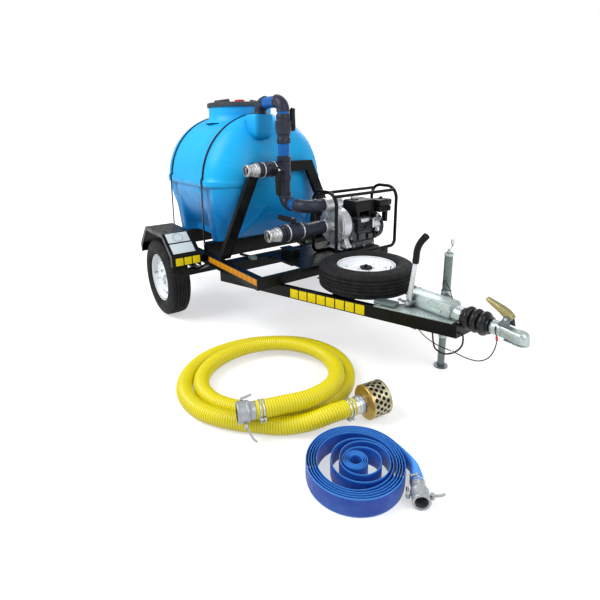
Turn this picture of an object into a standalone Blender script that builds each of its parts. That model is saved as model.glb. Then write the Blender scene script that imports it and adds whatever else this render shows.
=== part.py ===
"""Sludge suction trailer: a braked single-axle trailer with a moulded tank, an engine-driven
trash pump with its pipework, a spare wheel, a suction hose and a rolled layflat hose."""

import math

import bmesh
import bpy
from mathutils import Matrix, Vector

# Driving dimensions, metres. X points forwards and is 0 at the axle, Y points left, Z up.
GAP = 0.0003

REAR_REACH = 0.75
COUPLING_REACH = 2.404

TYRE_DIAMETER = 0.594
TYRE_WIDTH = 0.165
TYRE_TREAD_WIDTH = 0.116
TYRE_CARCASS = 0.032
RIM_FLANGE_DIAMETER = 0.365
RIM_SEAT_DIAMETER = 0.3394
RIM_WIDTH = 0.120
RIM_METAL = 0.0046
TRACK_HALF = 0.786
SPINDLE_RADIUS = 0.018
DRUM_RADIUS = 0.105

CHASSIS_HALF_WIDTH = 0.59
CHASSIS_TOP = 0.50
CHASSIS_DEPTH = 0.075
CHASSIS_FRONT = 1.035
RAIL_WIDTH = 0.05
MIDDLE_MEMBER_X = 0.55
MIDDLE_MEMBER_WIDTH = 0.07
FRONT_MEMBER_WIDTH = 0.03
PUMP_PLATE_Y = -0.235

DRAWBAR_REAR_X = 0.53
DRAWBAR_FRONT_X = 2.08
DRAWBAR_REAR_HALF = 0.592
DRAWBAR_FRONT_HALF = 0.073
DRAWBAR_DEPTH = 0.070
DRAWBAR_FLANGE = 0.040
DRAWBAR_METAL = 0.005

AXLE_SIDE = 0.05
SPRING_Y = 0.565
SPRING_WIDTH = 0.045
SPRING_THICKNESS = 0.02
SPRING_HALF_LENGTH = 0.27

FENDER_OUTER_Y = 0.865
FENDER_INNER_Y = 0.648
FENDER_HALF_LENGTH = 0.346
FENDER_TOP = 0.674
FENDER_TOP_HALF = 0.183
FENDER_METAL = 0.004
FENDER_LIP = 0.03

TANK_X = -0.128
TANK_RADIUS = 0.523
TANK_AXIS_Z = 1.0
TANK_HALF_LENGTH = 0.589
TANK_STRAIGHT_HALF = 0.325
TANK_WALL = 0.012
TANK_DOME_POWER = 2.2
TANK_FOOT_HALF = 0.455
BELT_TOP = 0.034
BELT_UNDER = 0.014
BELT_PROUD = 0.010
CRADLE_HEIGHT = 0.06
CRADLE_WIDTH = 0.06
CRADLE_HALF = 0.530
STRAP_FRONT_X = 0.186
STRAP_REAR_X = -0.425
STRAP_WIDTH = 0.028
STRAP_METAL = 0.003
NECK_RADIUS = 0.258
NECK_RISE = 0.074
NECK_WALL = 0.014
LID_RADIUS = 0.270
LID_SKIRT = 0.018
LID_CROWN = 0.018

BRACE_X = 0.468
BRACE_THICKNESS = 0.04
BRACE_BAR = 0.075
BRACE_TOP = 1.165
BRACE_TOP_HALF = 0.265
BRACE_FOOT_HALF = 0.575

PUMP_X = 0.93
PUMP_Z = 0.73
FRAME_TUBE = 0.0125
FRAME_BACK_X = 0.775
FRAME_FRONT_X = 1.03
FRAME_NEAR_Y = 0.06
FRAME_FAR_Y = 0.668
FRAME_TOP = 0.968
FRAME_BEND = 0.09
VOLUTE_RADIUS = 0.125
VOLUTE_NEAR_Y = 0.112
VOLUTE_FAR_Y = 0.205
VOLUTE_WALL = 0.012
COVER_THICKNESS = 0.022
PORT_RADIUS = 0.046
DISCHARGE_Z = 0.885
IMPELLER_RADIUS = 0.088
SHAFT_RADIUS = 0.012

PIPE_RADIUS = 0.0375
FITTING_RADIUS = 0.047
PIPE_BORE = 0.031
ELBOW_RADIUS = 0.062
RISER_X = 0.69
RISER_Y = -0.13
TEE_Z = 1.13
TEE_HALF = 0.085
RISER_PIPE_TOP = 1.30
RISER_VALVE_TOP = 1.505
RETURN_Z = 1.58
INLET_X = 0.40
INLET_PAD_TOP = 1.505
SUCTION_PORT_Y = 0.02
SUCTION_END_Y = -0.32
SUCTION_VALVE_Y = -0.235
BRANCH_VALVE_Y = -0.235
BRANCH_END_Y = -0.32
CAMLOCK_LENGTH = 0.12
CAMLOCK_BORE = 0.034
SUCTION_LEVER_LENGTH = 0.165
BRANCH_LEVER_LENGTH = 0.175
RISER_LEVER_LENGTH = 0.135
LEVER_WIDTH = 0.034
LEVER_THICKNESS = 0.014
STEM_REACH = 0.078

SPARE_X = 1.38
SPARE_STUD_RADIUS = 0.009
SPARE_PLATE = 0.006

COUPLING_Z = 0.455
HOUSING_REAR_X = 1.74
HOUSING_FRONT_X = 2.03
HOUSING_HALF = 0.055
HOUSING_TOP = 0.512
HOUSING_PLATE = 0.006
SNOUT_LENGTH = 0.045
SNOUT_RADIUS = 0.044
DRAW_SHAFT_RADIUS = 0.025
DRAW_SHAFT_REAR_X = 1.93
OVERRUN_TRAVEL = 0.06
BELLOWS_RADIUS = 0.062
BELLOWS_NECK = 0.044
HEAD_REAR_X = 2.222
BALL_X = 2.371
BALL_RADIUS = 0.025
CUP_RADIUS = 0.033
LATCH_X = 2.30
LATCH_Z = 0.522

HEAD_YOKE_RADIUS = 0.036
BREAKAWAY_RADIUS = 0.0025
BREAKAWAY_RING_X = 2.262
WIRE_RADIUS = 0.0035

BRAKE_AHEAD = 0.045
BRAKE_Y = -0.078
BRAKE_Z = 0.455
BRAKE_BAR = 0.008
BRAKE_GRIP = 0.0145

JOCKEY_X = 1.842
JOCKEY_Y = 0.183
JOCKEY_TUBE_RADIUS = 0.0235
JOCKEY_TUBE_BOTTOM = 0.19
JOCKEY_TUBE_TOP = 0.707
JOCKEY_LEG_RADIUS = 0.0205
JOCKEY_FOOT_RADIUS = 0.041
JOCKEY_FOOT_THICKNESS = 0.008
JOCKEY_CLAMP_Z = 0.44

HOSE_X = 1.363
HOSE_Y = -0.72
HOSE_RADIUS = 0.0435
HOSE_VALLEY = 0.0405
HOSE_BORE = 0.0345
HOSE_RIBS = 46
HOSE_INNER_LOOP = 0.338
HOSE_OUTER_LOOP = 0.436
HOSE_START_ANGLE = -43.0
HOSE_FIRST_TURN = 0.017
HOSE_TURNS = 2.145
STRAINER_RADIUS = 0.085
STRAINER_LENGTH = 0.11
COUPLER_RADIUS = 0.052

LAYFLAT_X = 2.150
LAYFLAT_Y = -0.825
LAYFLAT_WIDTH = 0.085
LAYFLAT_THICKNESS = 0.005
LAYFLAT_OUTER = 0.2085
LAYFLAT_PITCH = 0.0105
LAYFLAT_TIGHT_TURNS = 4.6
LAYFLAT_START_ANGLE = 82.0
LAYFLAT_LOOP_SHIFT = 0.022
LAYFLAT_SHIFT_ANGLE = 53.0
LAYFLAT_TURNS = 11.4
LAYFLAT_COUPLER_RADIUS = 0.036

# Worked-out places
AXLE_X = (REAR_REACH - COUPLING_REACH) / 2
WHEEL_RADIUS = TYRE_DIAMETER / 2
RAIL_INNER = CHASSIS_HALF_WIDTH - RAIL_WIDTH
CHASSIS_BOTTOM = CHASSIS_TOP - CHASSIS_DEPTH
DRAWBAR_TOP = CHASSIS_BOTTOM - GAP
CRADLE_TOP = CHASSIS_TOP + CRADLE_HEIGHT
TANK_BOTTOM = CRADLE_TOP + GAP
STRAP_XS = (STRAP_REAR_X, STRAP_FRONT_X)
NECK_TOP = TANK_AXIS_Z + TANK_RADIUS + NECK_RISE
BRAKE_X = HOUSING_REAR_X + BRAKE_AHEAD
FRAME_FOOT_Z = CHASSIS_TOP + GAP + FRAME_TUBE
SNOUT_X = HOUSING_FRONT_X + SNOUT_LENGTH
DRAWBAR_SLOPE = (DRAWBAR_REAR_HALF - DRAWBAR_FRONT_HALF) / (DRAWBAR_FRONT_X - DRAWBAR_REAR_X)
DRAWBAR_ANGLE = math.atan(DRAWBAR_SLOPE)
FACE_FORWARD = (math.pi / 2, 0, math.pi / 2)
FACE_SIDEWAYS = (math.pi / 2, 0, 0)

for existing in list(bpy.data.objects):
    bpy.data.objects.remove(existing, do_unlink=True)

PARTS = bpy.data.collections.new("sludge_suction_trailer")
CUTTERS = bpy.data.collections.new("cutters")
bpy.context.scene.collection.children.link(PARTS)
bpy.context.scene.collection.children.link(CUTTERS)

TRAILER = bpy.data.objects.new("trailer_frame", None)
TRAILER.location = (AXLE_X, 0, 0)
PARTS.objects.link(TRAILER)


def material(name, colour, roughness, metallic=0.0):
    made = bpy.data.materials.new(name)
    made.use_nodes = True
    shader = made.node_tree.nodes["Principled BSDF"]
    shader.inputs["Base Color"].default_value = (*colour, 1)
    shader.inputs["Roughness"].default_value = roughness
    shader.inputs["Metallic"].default_value = metallic
    made.diffuse_color = (*colour, 1)
    return made


BLACK_PAINT = material("black_paint", (0.02, 0.02, 0.022), 0.4)
TANK_BLUE = material("tank_blue", (0.02, 0.35, 0.80), 0.45)
LID_GREY = material("lid_grey", (0.06, 0.065, 0.07), 0.6)
RUBBER = material("rubber", (0.03, 0.03, 0.032), 0.85)
RIM_WHITE = material("rim_white", (0.80, 0.81, 0.82), 0.35)
GALVANISED = material("galvanised", (0.50, 0.55, 0.54), 0.45, 0.8)
ZINC_YELLOW = material("zinc_yellow", (0.55, 0.50, 0.25), 0.35, 0.8)
ALUMINIUM = material("aluminium", (0.62, 0.63, 0.65), 0.4, 0.9)
PVC_GREY = material("pvc_grey", (0.05, 0.055, 0.065), 0.5)
ENGINE_BLACK = material("engine_black", (0.03, 0.03, 0.03), 0.5)
CAST_GREY = material("cast_grey", (0.25, 0.26, 0.27), 0.5, 0.5)
HOSE_YELLOW = material("hose_yellow", (0.80, 0.68, 0.02), 0.5)
HOSE_BLUE = material("hose_blue", (0.01, 0.08, 0.45), 0.6)
BRASS_ZINC = material("brass_zinc", (0.60, 0.45, 0.18), 0.35, 0.9)


def place(name, data, finish, collection=None):
    obj = bpy.data.objects.new(name, data)
    (collection or PARTS).objects.link(obj)
    obj.parent = TRAILER
    if finish:
        data.materials.append(finish)
    return obj


def as_mesh(bm, smooth=False):
    data = bpy.data.meshes.new("mesh")
    bmesh.ops.recalc_face_normals(bm, faces=bm.faces)
    bm.to_mesh(data)
    bm.free()
    if smooth:
        data.shade_smooth()
        data.set_sharp_from_angle(angle=math.radians(35))
    return data


def box(name, low, high, finish=None):
    bm = bmesh.new()
    bmesh.ops.create_cube(bm, size=1.0)
    size = [top - bottom for bottom, top in zip(low, high)]
    centre = [(top + bottom) / 2 for bottom, top in zip(low, high)]
    bmesh.ops.scale(bm, vec=size, verts=bm.verts)
    bmesh.ops.translate(bm, vec=centre, verts=bm.verts)
    return place(name, as_mesh(bm), finish)


def rod(name, start, end, radius, finish=None, sides=14, end_radius=None):
    start, end = Vector(start), Vector(end)
    along = end - start
    turn = along.to_track_quat("Z", "Y").to_matrix().to_4x4()
    bm = bmesh.new()
    bmesh.ops.create_cone(
        bm,
        cap_ends=True,
        segments=sides,
        radius1=radius,
        radius2=radius if end_radius is None else end_radius,
        depth=along.length,
        matrix=Matrix.Translation((start + end) / 2) @ turn,
    )
    return place(name, as_mesh(bm, smooth=True), finish)


def turned(name, profile, at, axis, finish=None, steps=16, closed=False):
    """A lathe piece: profile is (radius, height) down its outer side, height along axis."""
    data = bpy.data.meshes.new(name)
    edges = [(i, i + 1) for i in range(len(profile) - 1)]
    if closed:
        edges.append((len(profile) - 1, 0))
    data.from_pydata([(radius, 0, height) for radius, height in profile], edges, [])
    obj = place(name, data, finish)
    obj.location = at
    obj.rotation_euler = Vector(axis).to_track_quat("Z", "X").to_euler()
    screw = obj.modifiers.new("turn", "SCREW")
    screw.steps = steps
    screw.render_steps = steps
    screw.use_merge_vertices = True
    screw.merge_threshold = 0.0001
    screw.use_smooth_shade = True
    return obj


def outline(name, points, thickness, at, rotation, finish=None):
    """A flat outline, its thickness centred on its plane, as a mesh object."""
    data = bpy.data.curves.new(name, "CURVE")
    data.dimensions = "2D"
    data.fill_mode = "BOTH"
    data.extrude = thickness / 2
    spline = data.splines.new("POLY")
    spline.points.add(len(points) - 1)
    for point, (u, v) in zip(spline.points, points):
        point.co = (u, v, 0, 1)
    spline.use_cyclic_u = True
    obj = place(name, data, None)
    obj.location = at
    obj.rotation_euler = rotation
    return meshed(obj, finish)


def tube(name, points, radius, finish=None, resolution=2, scales=None):
    """A round bar through points; scales thickens or thins it at each point."""
    data = bpy.data.curves.new(name, "CURVE")
    data.dimensions = "3D"
    data.bevel_depth = radius
    data.bevel_resolution = resolution
    data.use_fill_caps = True
    spline = data.splines.new("POLY")
    spline.points.add(len(points) - 1)
    for i, point in enumerate(points):
        spline.points[i].co = (*point, 1)
        spline.points[i].radius = scales[i] if scales else 1.0
    return place(name, data, finish)


def meshed(curve, finish=None):
    """The curve object as a closed mesh object in the same place."""
    bpy.context.view_layer.update()
    evaluated = curve.evaluated_get(bpy.context.evaluated_depsgraph_get())
    data = bpy.data.meshes.new_from_object(evaluated)
    bm = bmesh.new()
    bm.from_mesh(data)
    bmesh.ops.remove_doubles(bm, verts=bm.verts, dist=0.00001)
    bmesh.ops.recalc_face_normals(bm, faces=bm.faces)
    bm.to_mesh(data)
    bm.free()
    data.materials.clear()
    name = curve.name
    pose = curve.matrix_world.copy()
    old = curve.data
    bpy.data.objects.remove(curve, do_unlink=True)
    bpy.data.curves.remove(old)
    obj = place(name, data, finish)
    obj.matrix_world = pose
    return obj


def as_tool(obj):
    for collection in list(obj.users_collection):
        collection.objects.unlink(obj)
    CUTTERS.objects.link(obj)
    obj.hide_render = True
    obj.display_type = "WIRE"


def combine(obj, others, operation="UNION"):
    for other in others:
        as_tool(other)
        step = obj.modifiers.new(operation.lower(), "BOOLEAN")
        step.operation = operation
        step.solver = "EXACT"
        step.object = other
    return obj


def soften(obj, width, segments=1):
    bevel = obj.modifiers.new("soft_edges", "BEVEL")
    bevel.width = width
    bevel.segments = segments
    bevel.limit_method = "ANGLE"
    return obj


def pivot_at(obj, point):
    """Moves the object's origin to point without moving its shape."""
    shift = obj.matrix_basis.inverted() @ Vector(point)
    obj.data.transform(Matrix.Translation(-shift))
    obj.location = point
    return obj


def smoothstep(low, high, value):
    share = min(max((value - low) / (high - low), 0.0), 1.0)
    return share * share * (3 - 2 * share)


def arc(centre, radius, start, end, count):
    """Points on a plane arc, angles in degrees."""
    points = []
    for i in range(count + 1):
        angle = math.radians(start + (end - start) * i / count)
        points.append((centre[0] + radius * math.cos(angle), centre[1] + radius * math.sin(angle)))
    return points


def make_chassis():
    low, high = CHASSIS_BOTTOM, CHASSIS_TOP
    left = box(
        "chassis_frame", (-REAR_REACH, RAIL_INNER, low), (CHASSIS_FRONT, CHASSIS_HALF_WIDTH, high), BLACK_PAINT
    )
    pieces = [
        box("rail_right", (-REAR_REACH, -CHASSIS_HALF_WIDTH, low), (CHASSIS_FRONT, -RAIL_INNER, high))
    ]
    members = [
        (-REAR_REACH, RAIL_WIDTH),
        (STRAP_XS[0] - RAIL_WIDTH / 2, RAIL_WIDTH),
        (STRAP_XS[1] - RAIL_WIDTH / 2, RAIL_WIDTH),
        (MIDDLE_MEMBER_X, MIDDLE_MEMBER_WIDTH),
        (CHASSIS_FRONT - FRONT_MEMBER_WIDTH, FRONT_MEMBER_WIDTH),
    ]
    overlap = RAIL_WIDTH / 2
    inset = 0.002
    for i, (rear, width) in enumerate(members):
        pieces.append(
            box(
                f"cross_member_{i}",
                (rear, -RAIL_INNER - overlap, low + inset),
                (rear + width, RAIL_INNER + overlap, high - inset),
            )
        )
    for i, strap_x in enumerate(STRAP_XS):
        pieces.append(
            box(
                f"cradle_{i}",
                (strap_x - CRADLE_WIDTH / 2, -CRADLE_HALF, high - CHASSIS_DEPTH / 2),
                (strap_x + CRADLE_WIDTH / 2, CRADLE_HALF, CRADLE_TOP),
            )
        )
    pieces.append(
        box(
            "pump_plate",
            (MIDDLE_MEMBER_X + MIDDLE_MEMBER_WIDTH / 2, PUMP_PLATE_Y, high - 0.006),
            (CHASSIS_FRONT - FRONT_MEMBER_WIDTH / 2, RAIL_INNER + overlap, high - 0.0005),
        )
    )
    combine(left, pieces)


def make_drawbar():
    length = math.hypot(DRAWBAR_FRONT_X - DRAWBAR_REAR_X, DRAWBAR_REAR_HALF - DRAWBAR_FRONT_HALF)
    half, web = DRAWBAR_DEPTH / 2, DRAWBAR_METAL
    channel = [
        (0, -half),
        (DRAWBAR_FLANGE, -half),
        (DRAWBAR_FLANGE, -half + web),
        (web, -half + web),
        (web, half - web),
        (DRAWBAR_FLANGE, half - web),
        (DRAWBAR_FLANGE, half),
        (0, half),
    ]
    middle_x = (DRAWBAR_REAR_X + DRAWBAR_FRONT_X) / 2
    middle_y = (DRAWBAR_REAR_HALF + DRAWBAR_FRONT_HALF) / 2
    for side, name in ((-1, "drawbar_beam_right"), (1, "drawbar_beam_left")):
        points = [(u * -side, v) for u, v in channel]
        beam = outline(
            name,
            points,
            length + 0.08,
            (middle_x + 0.04 * math.cos(DRAWBAR_ANGLE), side * (middle_y - 0.04 * math.sin(DRAWBAR_ANGLE)), DRAWBAR_TOP - half),
            (math.pi / 2, 0, math.pi / 2 - side * DRAWBAR_ANGLE),
            BLACK_PAINT,
        )
        end = DRAWBAR_FRONT_X if side < 0 else DRAWBAR_FRONT_X - GAP
        waste = box(f"{name}_waste", (end, -0.3, 0.3), (end + 0.3, 0.3, 0.5))
        combine(beam, [waste], "DIFFERENCE")
        if side < 0:
            reach = DRAWBAR_FRONT_HALF
            nose = box(
                "drawbar_nose",
                (DRAWBAR_FRONT_X - 0.0002, -reach, DRAWBAR_TOP - DRAWBAR_DEPTH + 0.0002),
                (DRAWBAR_FRONT_X + 0.006, reach, DRAWBAR_TOP - 0.0002),
            )
            combine(beam, [nose])
            notch = rod(
                "nose_notch",
                (DRAWBAR_FRONT_X - 0.02, 0, COUPLING_Z),
                (DRAWBAR_FRONT_X + 0.02, 0, COUPLING_Z),
                BELLOWS_NECK + 0.0015,
                sides=16,
            )
            combine(beam, [notch], "DIFFERENCE")


def make_axle():
    half = AXLE_SIDE / 2
    beam_end = TRACK_HALF - 0.09
    beam = box("axle_beam", (-half, -beam_end, WHEEL_RADIUS - half), (half, beam_end, WHEEL_RADIUS + half), CAST_GREY)
    drum_face = TRACK_HALF - 0.045
    tip = TRACK_HALF + 0.030 - GAP
    pieces = []
    for side in (-1, 1):
        pieces.append(
            rod(
                f"spindle_{side}",
                (0, side * (beam_end - 0.02), WHEEL_RADIUS),
                (0, side * tip, WHEEL_RADIUS),
                SPINDLE_RADIUS,
                sides=12,
            )
        )
        pieces.append(
            rod(
                f"backplate_{side}",
                (0, side * (beam_end - 0.004), WHEEL_RADIUS),
                (0, side * (drum_face - GAP), WHEEL_RADIUS),
                DRUM_RADIUS,
                sides=14,
            )
        )
    combine(beam, pieces)
    eye_z = CHASSIS_BOTTOM - GAP - SPRING_THICKNESS / 2
    seat_z = WHEEL_RADIUS + half + GAP + SPRING_THICKNESS / 2
    count = 8
    for side, name in ((-1, "leaf_spring_right"), (1, "leaf_spring_left")):
        middle = []
        for i in range(-count, count + 1):
            share = i / count
            middle.append((share * SPRING_HALF_LENGTH, seat_z + (eye_z - seat_z) * share * share))
        upper = [(x, z + SPRING_THICKNESS / 2) for x, z in middle]
        lower = [(x, z - SPRING_THICKNESS / 2) for x, z in reversed(middle)]
        outline(name, upper + lower, SPRING_WIDTH, (0, side * SPRING_Y, 0), FACE_SIDEWAYS, CAST_GREY)


def tyre_profile():
    half = TYRE_WIDTH / 2
    seat = RIM_SEAT_DIAMETER / 2 + GAP
    flange = RIM_FLANGE_DIAMETER / 2 + 0.001
    bead = RIM_WIDTH / 2 - RIM_METAL - GAP
    tread = TYRE_TREAD_WIDTH / 2
    crown = WHEEL_RADIUS
    inner = crown - TYRE_CARCASS
    upper = [
        (seat, bead),
        (flange, bead),
        (flange + 0.008, half * 0.82),
        (crown - 0.062, half),
        (crown - 0.014, tread + 0.012),
        (crown, tread),
    ]
    liner = [(inner, tread - 0.004), (seat + 0.020, bead - 0.010)]
    down = [(radius, -height) for radius, height in reversed(upper)]
    back = [(radius, -height) for radius, height in reversed(liner)]
    return upper + down + back + liner


def rim_profile(with_drum):
    flange = RIM_FLANGE_DIAMETER / 2
    seat = RIM_SEAT_DIAMETER / 2
    half = RIM_WIDTH / 2
    metal = RIM_METAL
    disc = 0.112
    shell = [
        (seat - metal, 0.036),
        (seat - metal, half),
        (flange, half),
        (flange, half - metal),
        (seat, half - metal),
        (seat, -half + metal),
        (flange, -half + metal),
        (flange, -half),
        (seat - metal, -half),
        (seat - metal, 0.028),
        (disc, 0.024),
    ]
    hub_cap = [(0, 0.052), (0.028, 0.052), (0.031, 0.026), (disc, 0.030)]
    if not with_drum:
        hub_cap = [(0.031, 0.018), (0.031, 0.026), (disc, 0.030)]
        return hub_cap + shell + [(0.060, 0.018)]
    bore = SPINDLE_RADIUS + 2 * GAP
    drum = [(DRUM_RADIUS, 0.020), (DRUM_RADIUS, -0.045), (bore, -0.045), (bore, 0.030), (0, 0.030)]
    return hub_cap + shell + drum


def slot_cutters(name, at, axis, rotation):
    """Oval ventilation slots round the rim's disc."""
    cutters = []
    count = 6
    radius = 0.128
    for i in range(count):
        angle = 2 * math.pi * i / count
        cutter = rod(f"{name}_slot_{i}", (radius, 0, -0.005), (radius, 0, 0.06), 0.0085, sides=6)
        cutter.data.transform(Matrix.Diagonal((1.0, 1.7, 1.0, 1.0)))
        cutter.data.transform(Matrix.Rotation(angle, 4, "Z"))
        cutter.rotation_euler = rotation
        cutter.location = at
        cutters.append(cutter)
    return cutters


def make_wheels():
    for side, name in ((-1, "right"), (1, "left")):
        at = (0, side * TRACK_HALF, WHEEL_RADIUS)
        outward = (0, side, 0)
        turned(f"tyre_{name}", tyre_profile(), at, outward, RUBBER, steps=16, closed=True)
        rim = turned(f"rim_{name}", rim_profile(True), at, outward, RIM_WHITE, steps=16)
        combine(rim, slot_cutters(f"rim_{name}", at, outward, rim.rotation_euler), "DIFFERENCE")


def spare_height():
    return DRAWBAR_TOP + GAP + TYRE_WIDTH / 2


def make_spare():
    at = (SPARE_X, 0, spare_height())
    up = (0, 0, 1)
    turned("spare_tyre", tyre_profile(), at, up, RUBBER, steps=16, closed=True)
    rim = turned("spare_rim", rim_profile(False), at, up, RIM_WHITE, steps=16, closed=True)
    combine(rim, slot_cutters("spare_rim", at, up, rim.rotation_euler), "DIFFERENCE")
    disc_under = at[2] + 0.018 - GAP
    disc_over = at[2] + 0.0265 + GAP
    reach = DRAWBAR_REAR_HALF - DRAWBAR_SLOPE * (SPARE_X - DRAWBAR_REAR_X) - DRAWBAR_METAL
    carrier = box(
        "spare_carrier",
        (SPARE_X - 0.03, -reach + 0.025, DRAWBAR_TOP - DRAWBAR_DEPTH / 2 - 0.02),
        (SPARE_X + 0.03, reach - 0.025, DRAWBAR_TOP - DRAWBAR_METAL - GAP),
        BLACK_PAINT,
    )
    combine(
        carrier,
        [
            rod("carrier_post", (SPARE_X, 0, DRAWBAR_TOP - 0.03), (SPARE_X, 0, disc_under), 0.045),
            rod("carrier_stud", (SPARE_X, 0, disc_under - 0.01), (SPARE_X, 0, disc_over + 0.03), SPARE_STUD_RADIUS),
            rod("carrier_nut", (SPARE_X, 0, disc_over), (SPARE_X, 0, disc_over + 0.017), 0.04, sides=6),
        ],
    )


def fender_line():
    """Side view of the mudguard's outer surface, rear to front."""
    return [
        (-FENDER_HALF_LENGTH, 0.44),
        (-FENDER_HALF_LENGTH, 0.511),
        (-FENDER_TOP_HALF, FENDER_TOP),
        (FENDER_TOP_HALF, FENDER_TOP),
        (FENDER_HALF_LENGTH, 0.54),
        (FENDER_HALF_LENGTH, 0.46),
    ]


def inset_line(points, distance):
    """The open line moved to its right-hand side by distance, with mitred corners."""
    moved = []
    for i, point in enumerate(points):
        here = Vector(point)
        before = (here - Vector(points[i - 1])).normalized() if i else None
        after = (Vector(points[i + 1]) - here).normalized() if i + 1 < len(points) else None
        first = before or after
        second = after or before
        normal = Vector((first.y, -first.x)) + Vector((second.y, -second.x))
        normal.normalize()
        spread = normal.dot(Vector((first.y, -first.x)))
        moved.append(tuple(here + normal * distance / spread))
    return moved


def make_fenders():
    line = fender_line()
    inner = inset_line(line, FENDER_METAL)
    lip = inset_line(line, FENDER_LIP)
    width = FENDER_OUTER_Y - FENDER_INNER_Y
    for side, name in ((-1, "fender_right"), (1, "fender_left")):
        arch = outline(
            name,
            line + inner[::-1],
            width,
            (0, side * (FENDER_OUTER_Y + FENDER_INNER_Y) / 2, 0),
            FACE_SIDEWAYS,
            BLACK_PAINT,
        )
        shrink = inset_line(line, FENDER_METAL / 2)
        edge = outline(
            f"{name}_lip",
            shrink + lip[::-1],
            FENDER_METAL,
            (0, side * (FENDER_OUTER_Y - FENDER_METAL / 2 - 0.0002), 0),
            FACE_SIDEWAYS,
        )
        floor = CHASSIS_BOTTOM + 0.01
        skirt_line = [(x, max(z, floor)) for x, z in shrink]
        skirt_line[0] = (shrink[0][0], floor)
        skirt_line[-1] = (shrink[-1][0], floor)
        skirt = outline(
            f"{name}_skirt",
            skirt_line,
            FENDER_METAL,
            (0, side * (FENDER_INNER_Y + FENDER_METAL / 2 + 0.0002), 0),
            FACE_SIDEWAYS,
        )
        pieces = [edge, skirt]
        stub_inner = CHASSIS_HALF_WIDTH + GAP
        stub_outer = FENDER_INNER_Y + FENDER_METAL / 2
        for i, stub_x in enumerate((-0.25, 0.25)):
            ends = sorted((side * stub_inner, side * stub_outer))
            pieces.append(
                box(
                    f"{name}_stub_{i}",
                    (stub_x - 0.02, ends[0], floor + 0.01),
                    (stub_x + 0.02, ends[1], CHASSIS_TOP - 0.015),
                )
            )
        combine(arch, pieces)


def tank_share(x):
    """How far the section at x has shrunk towards the tank's domed end, 1 in the middle."""
    past = abs(x - TANK_X) - TANK_STRAIGHT_HALF
    share = max(0.0, past / (TANK_HALF_LENGTH - TANK_STRAIGHT_HALF))
    return max(0.0, 1 - min(share, 1.0) ** TANK_DOME_POWER) ** (1 / TANK_DOME_POWER)


def pillar_share(x):
    """1 at the moulded pillars under the straps, 0 in the pockets between them."""
    nearest = min(abs(x - strap_x) for strap_x in STRAP_XS)
    return 1 - smoothstep(0.045, 0.095, nearest)


def tank_section(x, wall=0.0, belt=BELT_PROUD):
    """Points (y, z) of the tank's outline at x, anticlockwise from the left belt edge."""
    radius = TANK_RADIUS - wall
    share = tank_share(x)
    points = []
    start = math.degrees(math.asin((BELT_TOP + 0.012) / radius))
    for y, z in arc((0, 0), radius, start, 180 - start, 9):
        points.append((y, z))
    side = [(radius + belt, BELT_TOP), (radius + belt, -BELT_UNDER)]
    depth = TANK_AXIS_Z - TANK_BOTTOM - wall
    levels = [BELT_UNDER + 0.010, 0.15, 0.28, 0.385, depth]
    pillar = 0.0 if wall else pillar_share(x)
    for level in levels:
        round_y = math.sqrt(max(radius**2 - min(level, 0.385) ** 2, 0)) - 0.004
        flat_y = (radius - 0.022) + (TANK_FOOT_HALF - TANK_RADIUS + 0.022) * level / depth
        side.append((round_y + (flat_y - round_y) * (0.15 + 0.85 * pillar), -level))
    points += [(-y, z) for y, z in side]
    points += [(y, z) for y, z in reversed(side)]
    return [(y * share, TANK_AXIS_Z + z * share) for y, z in points]


def tank_stations(end_shares):
    run = TANK_HALF_LENGTH - TANK_STRAIGHT_HALF
    offsets = [TANK_STRAIGHT_HALF] + [TANK_STRAIGHT_HALF + run * share for share in end_shares]
    return [TANK_X + offset for offset in reversed(offsets)] + [TANK_X - offset for offset in offsets]


def lofted(name, stations, section, finish=None):
    bm = bmesh.new()
    rings = []
    for x in stations:
        rings.append([bm.verts.new((x, y, z)) for y, z in section(x)])
    for first, second in zip(rings, rings[1:]):
        count = len(first)
        for i in range(count):
            bm.faces.new((first[i], first[(i + 1) % count], second[(i + 1) % count], second[i]))
    bm.faces.new(rings[0])
    bm.faces.new(list(reversed(rings[-1])))
    return place(name, as_mesh(bm, smooth=True), finish)


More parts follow.
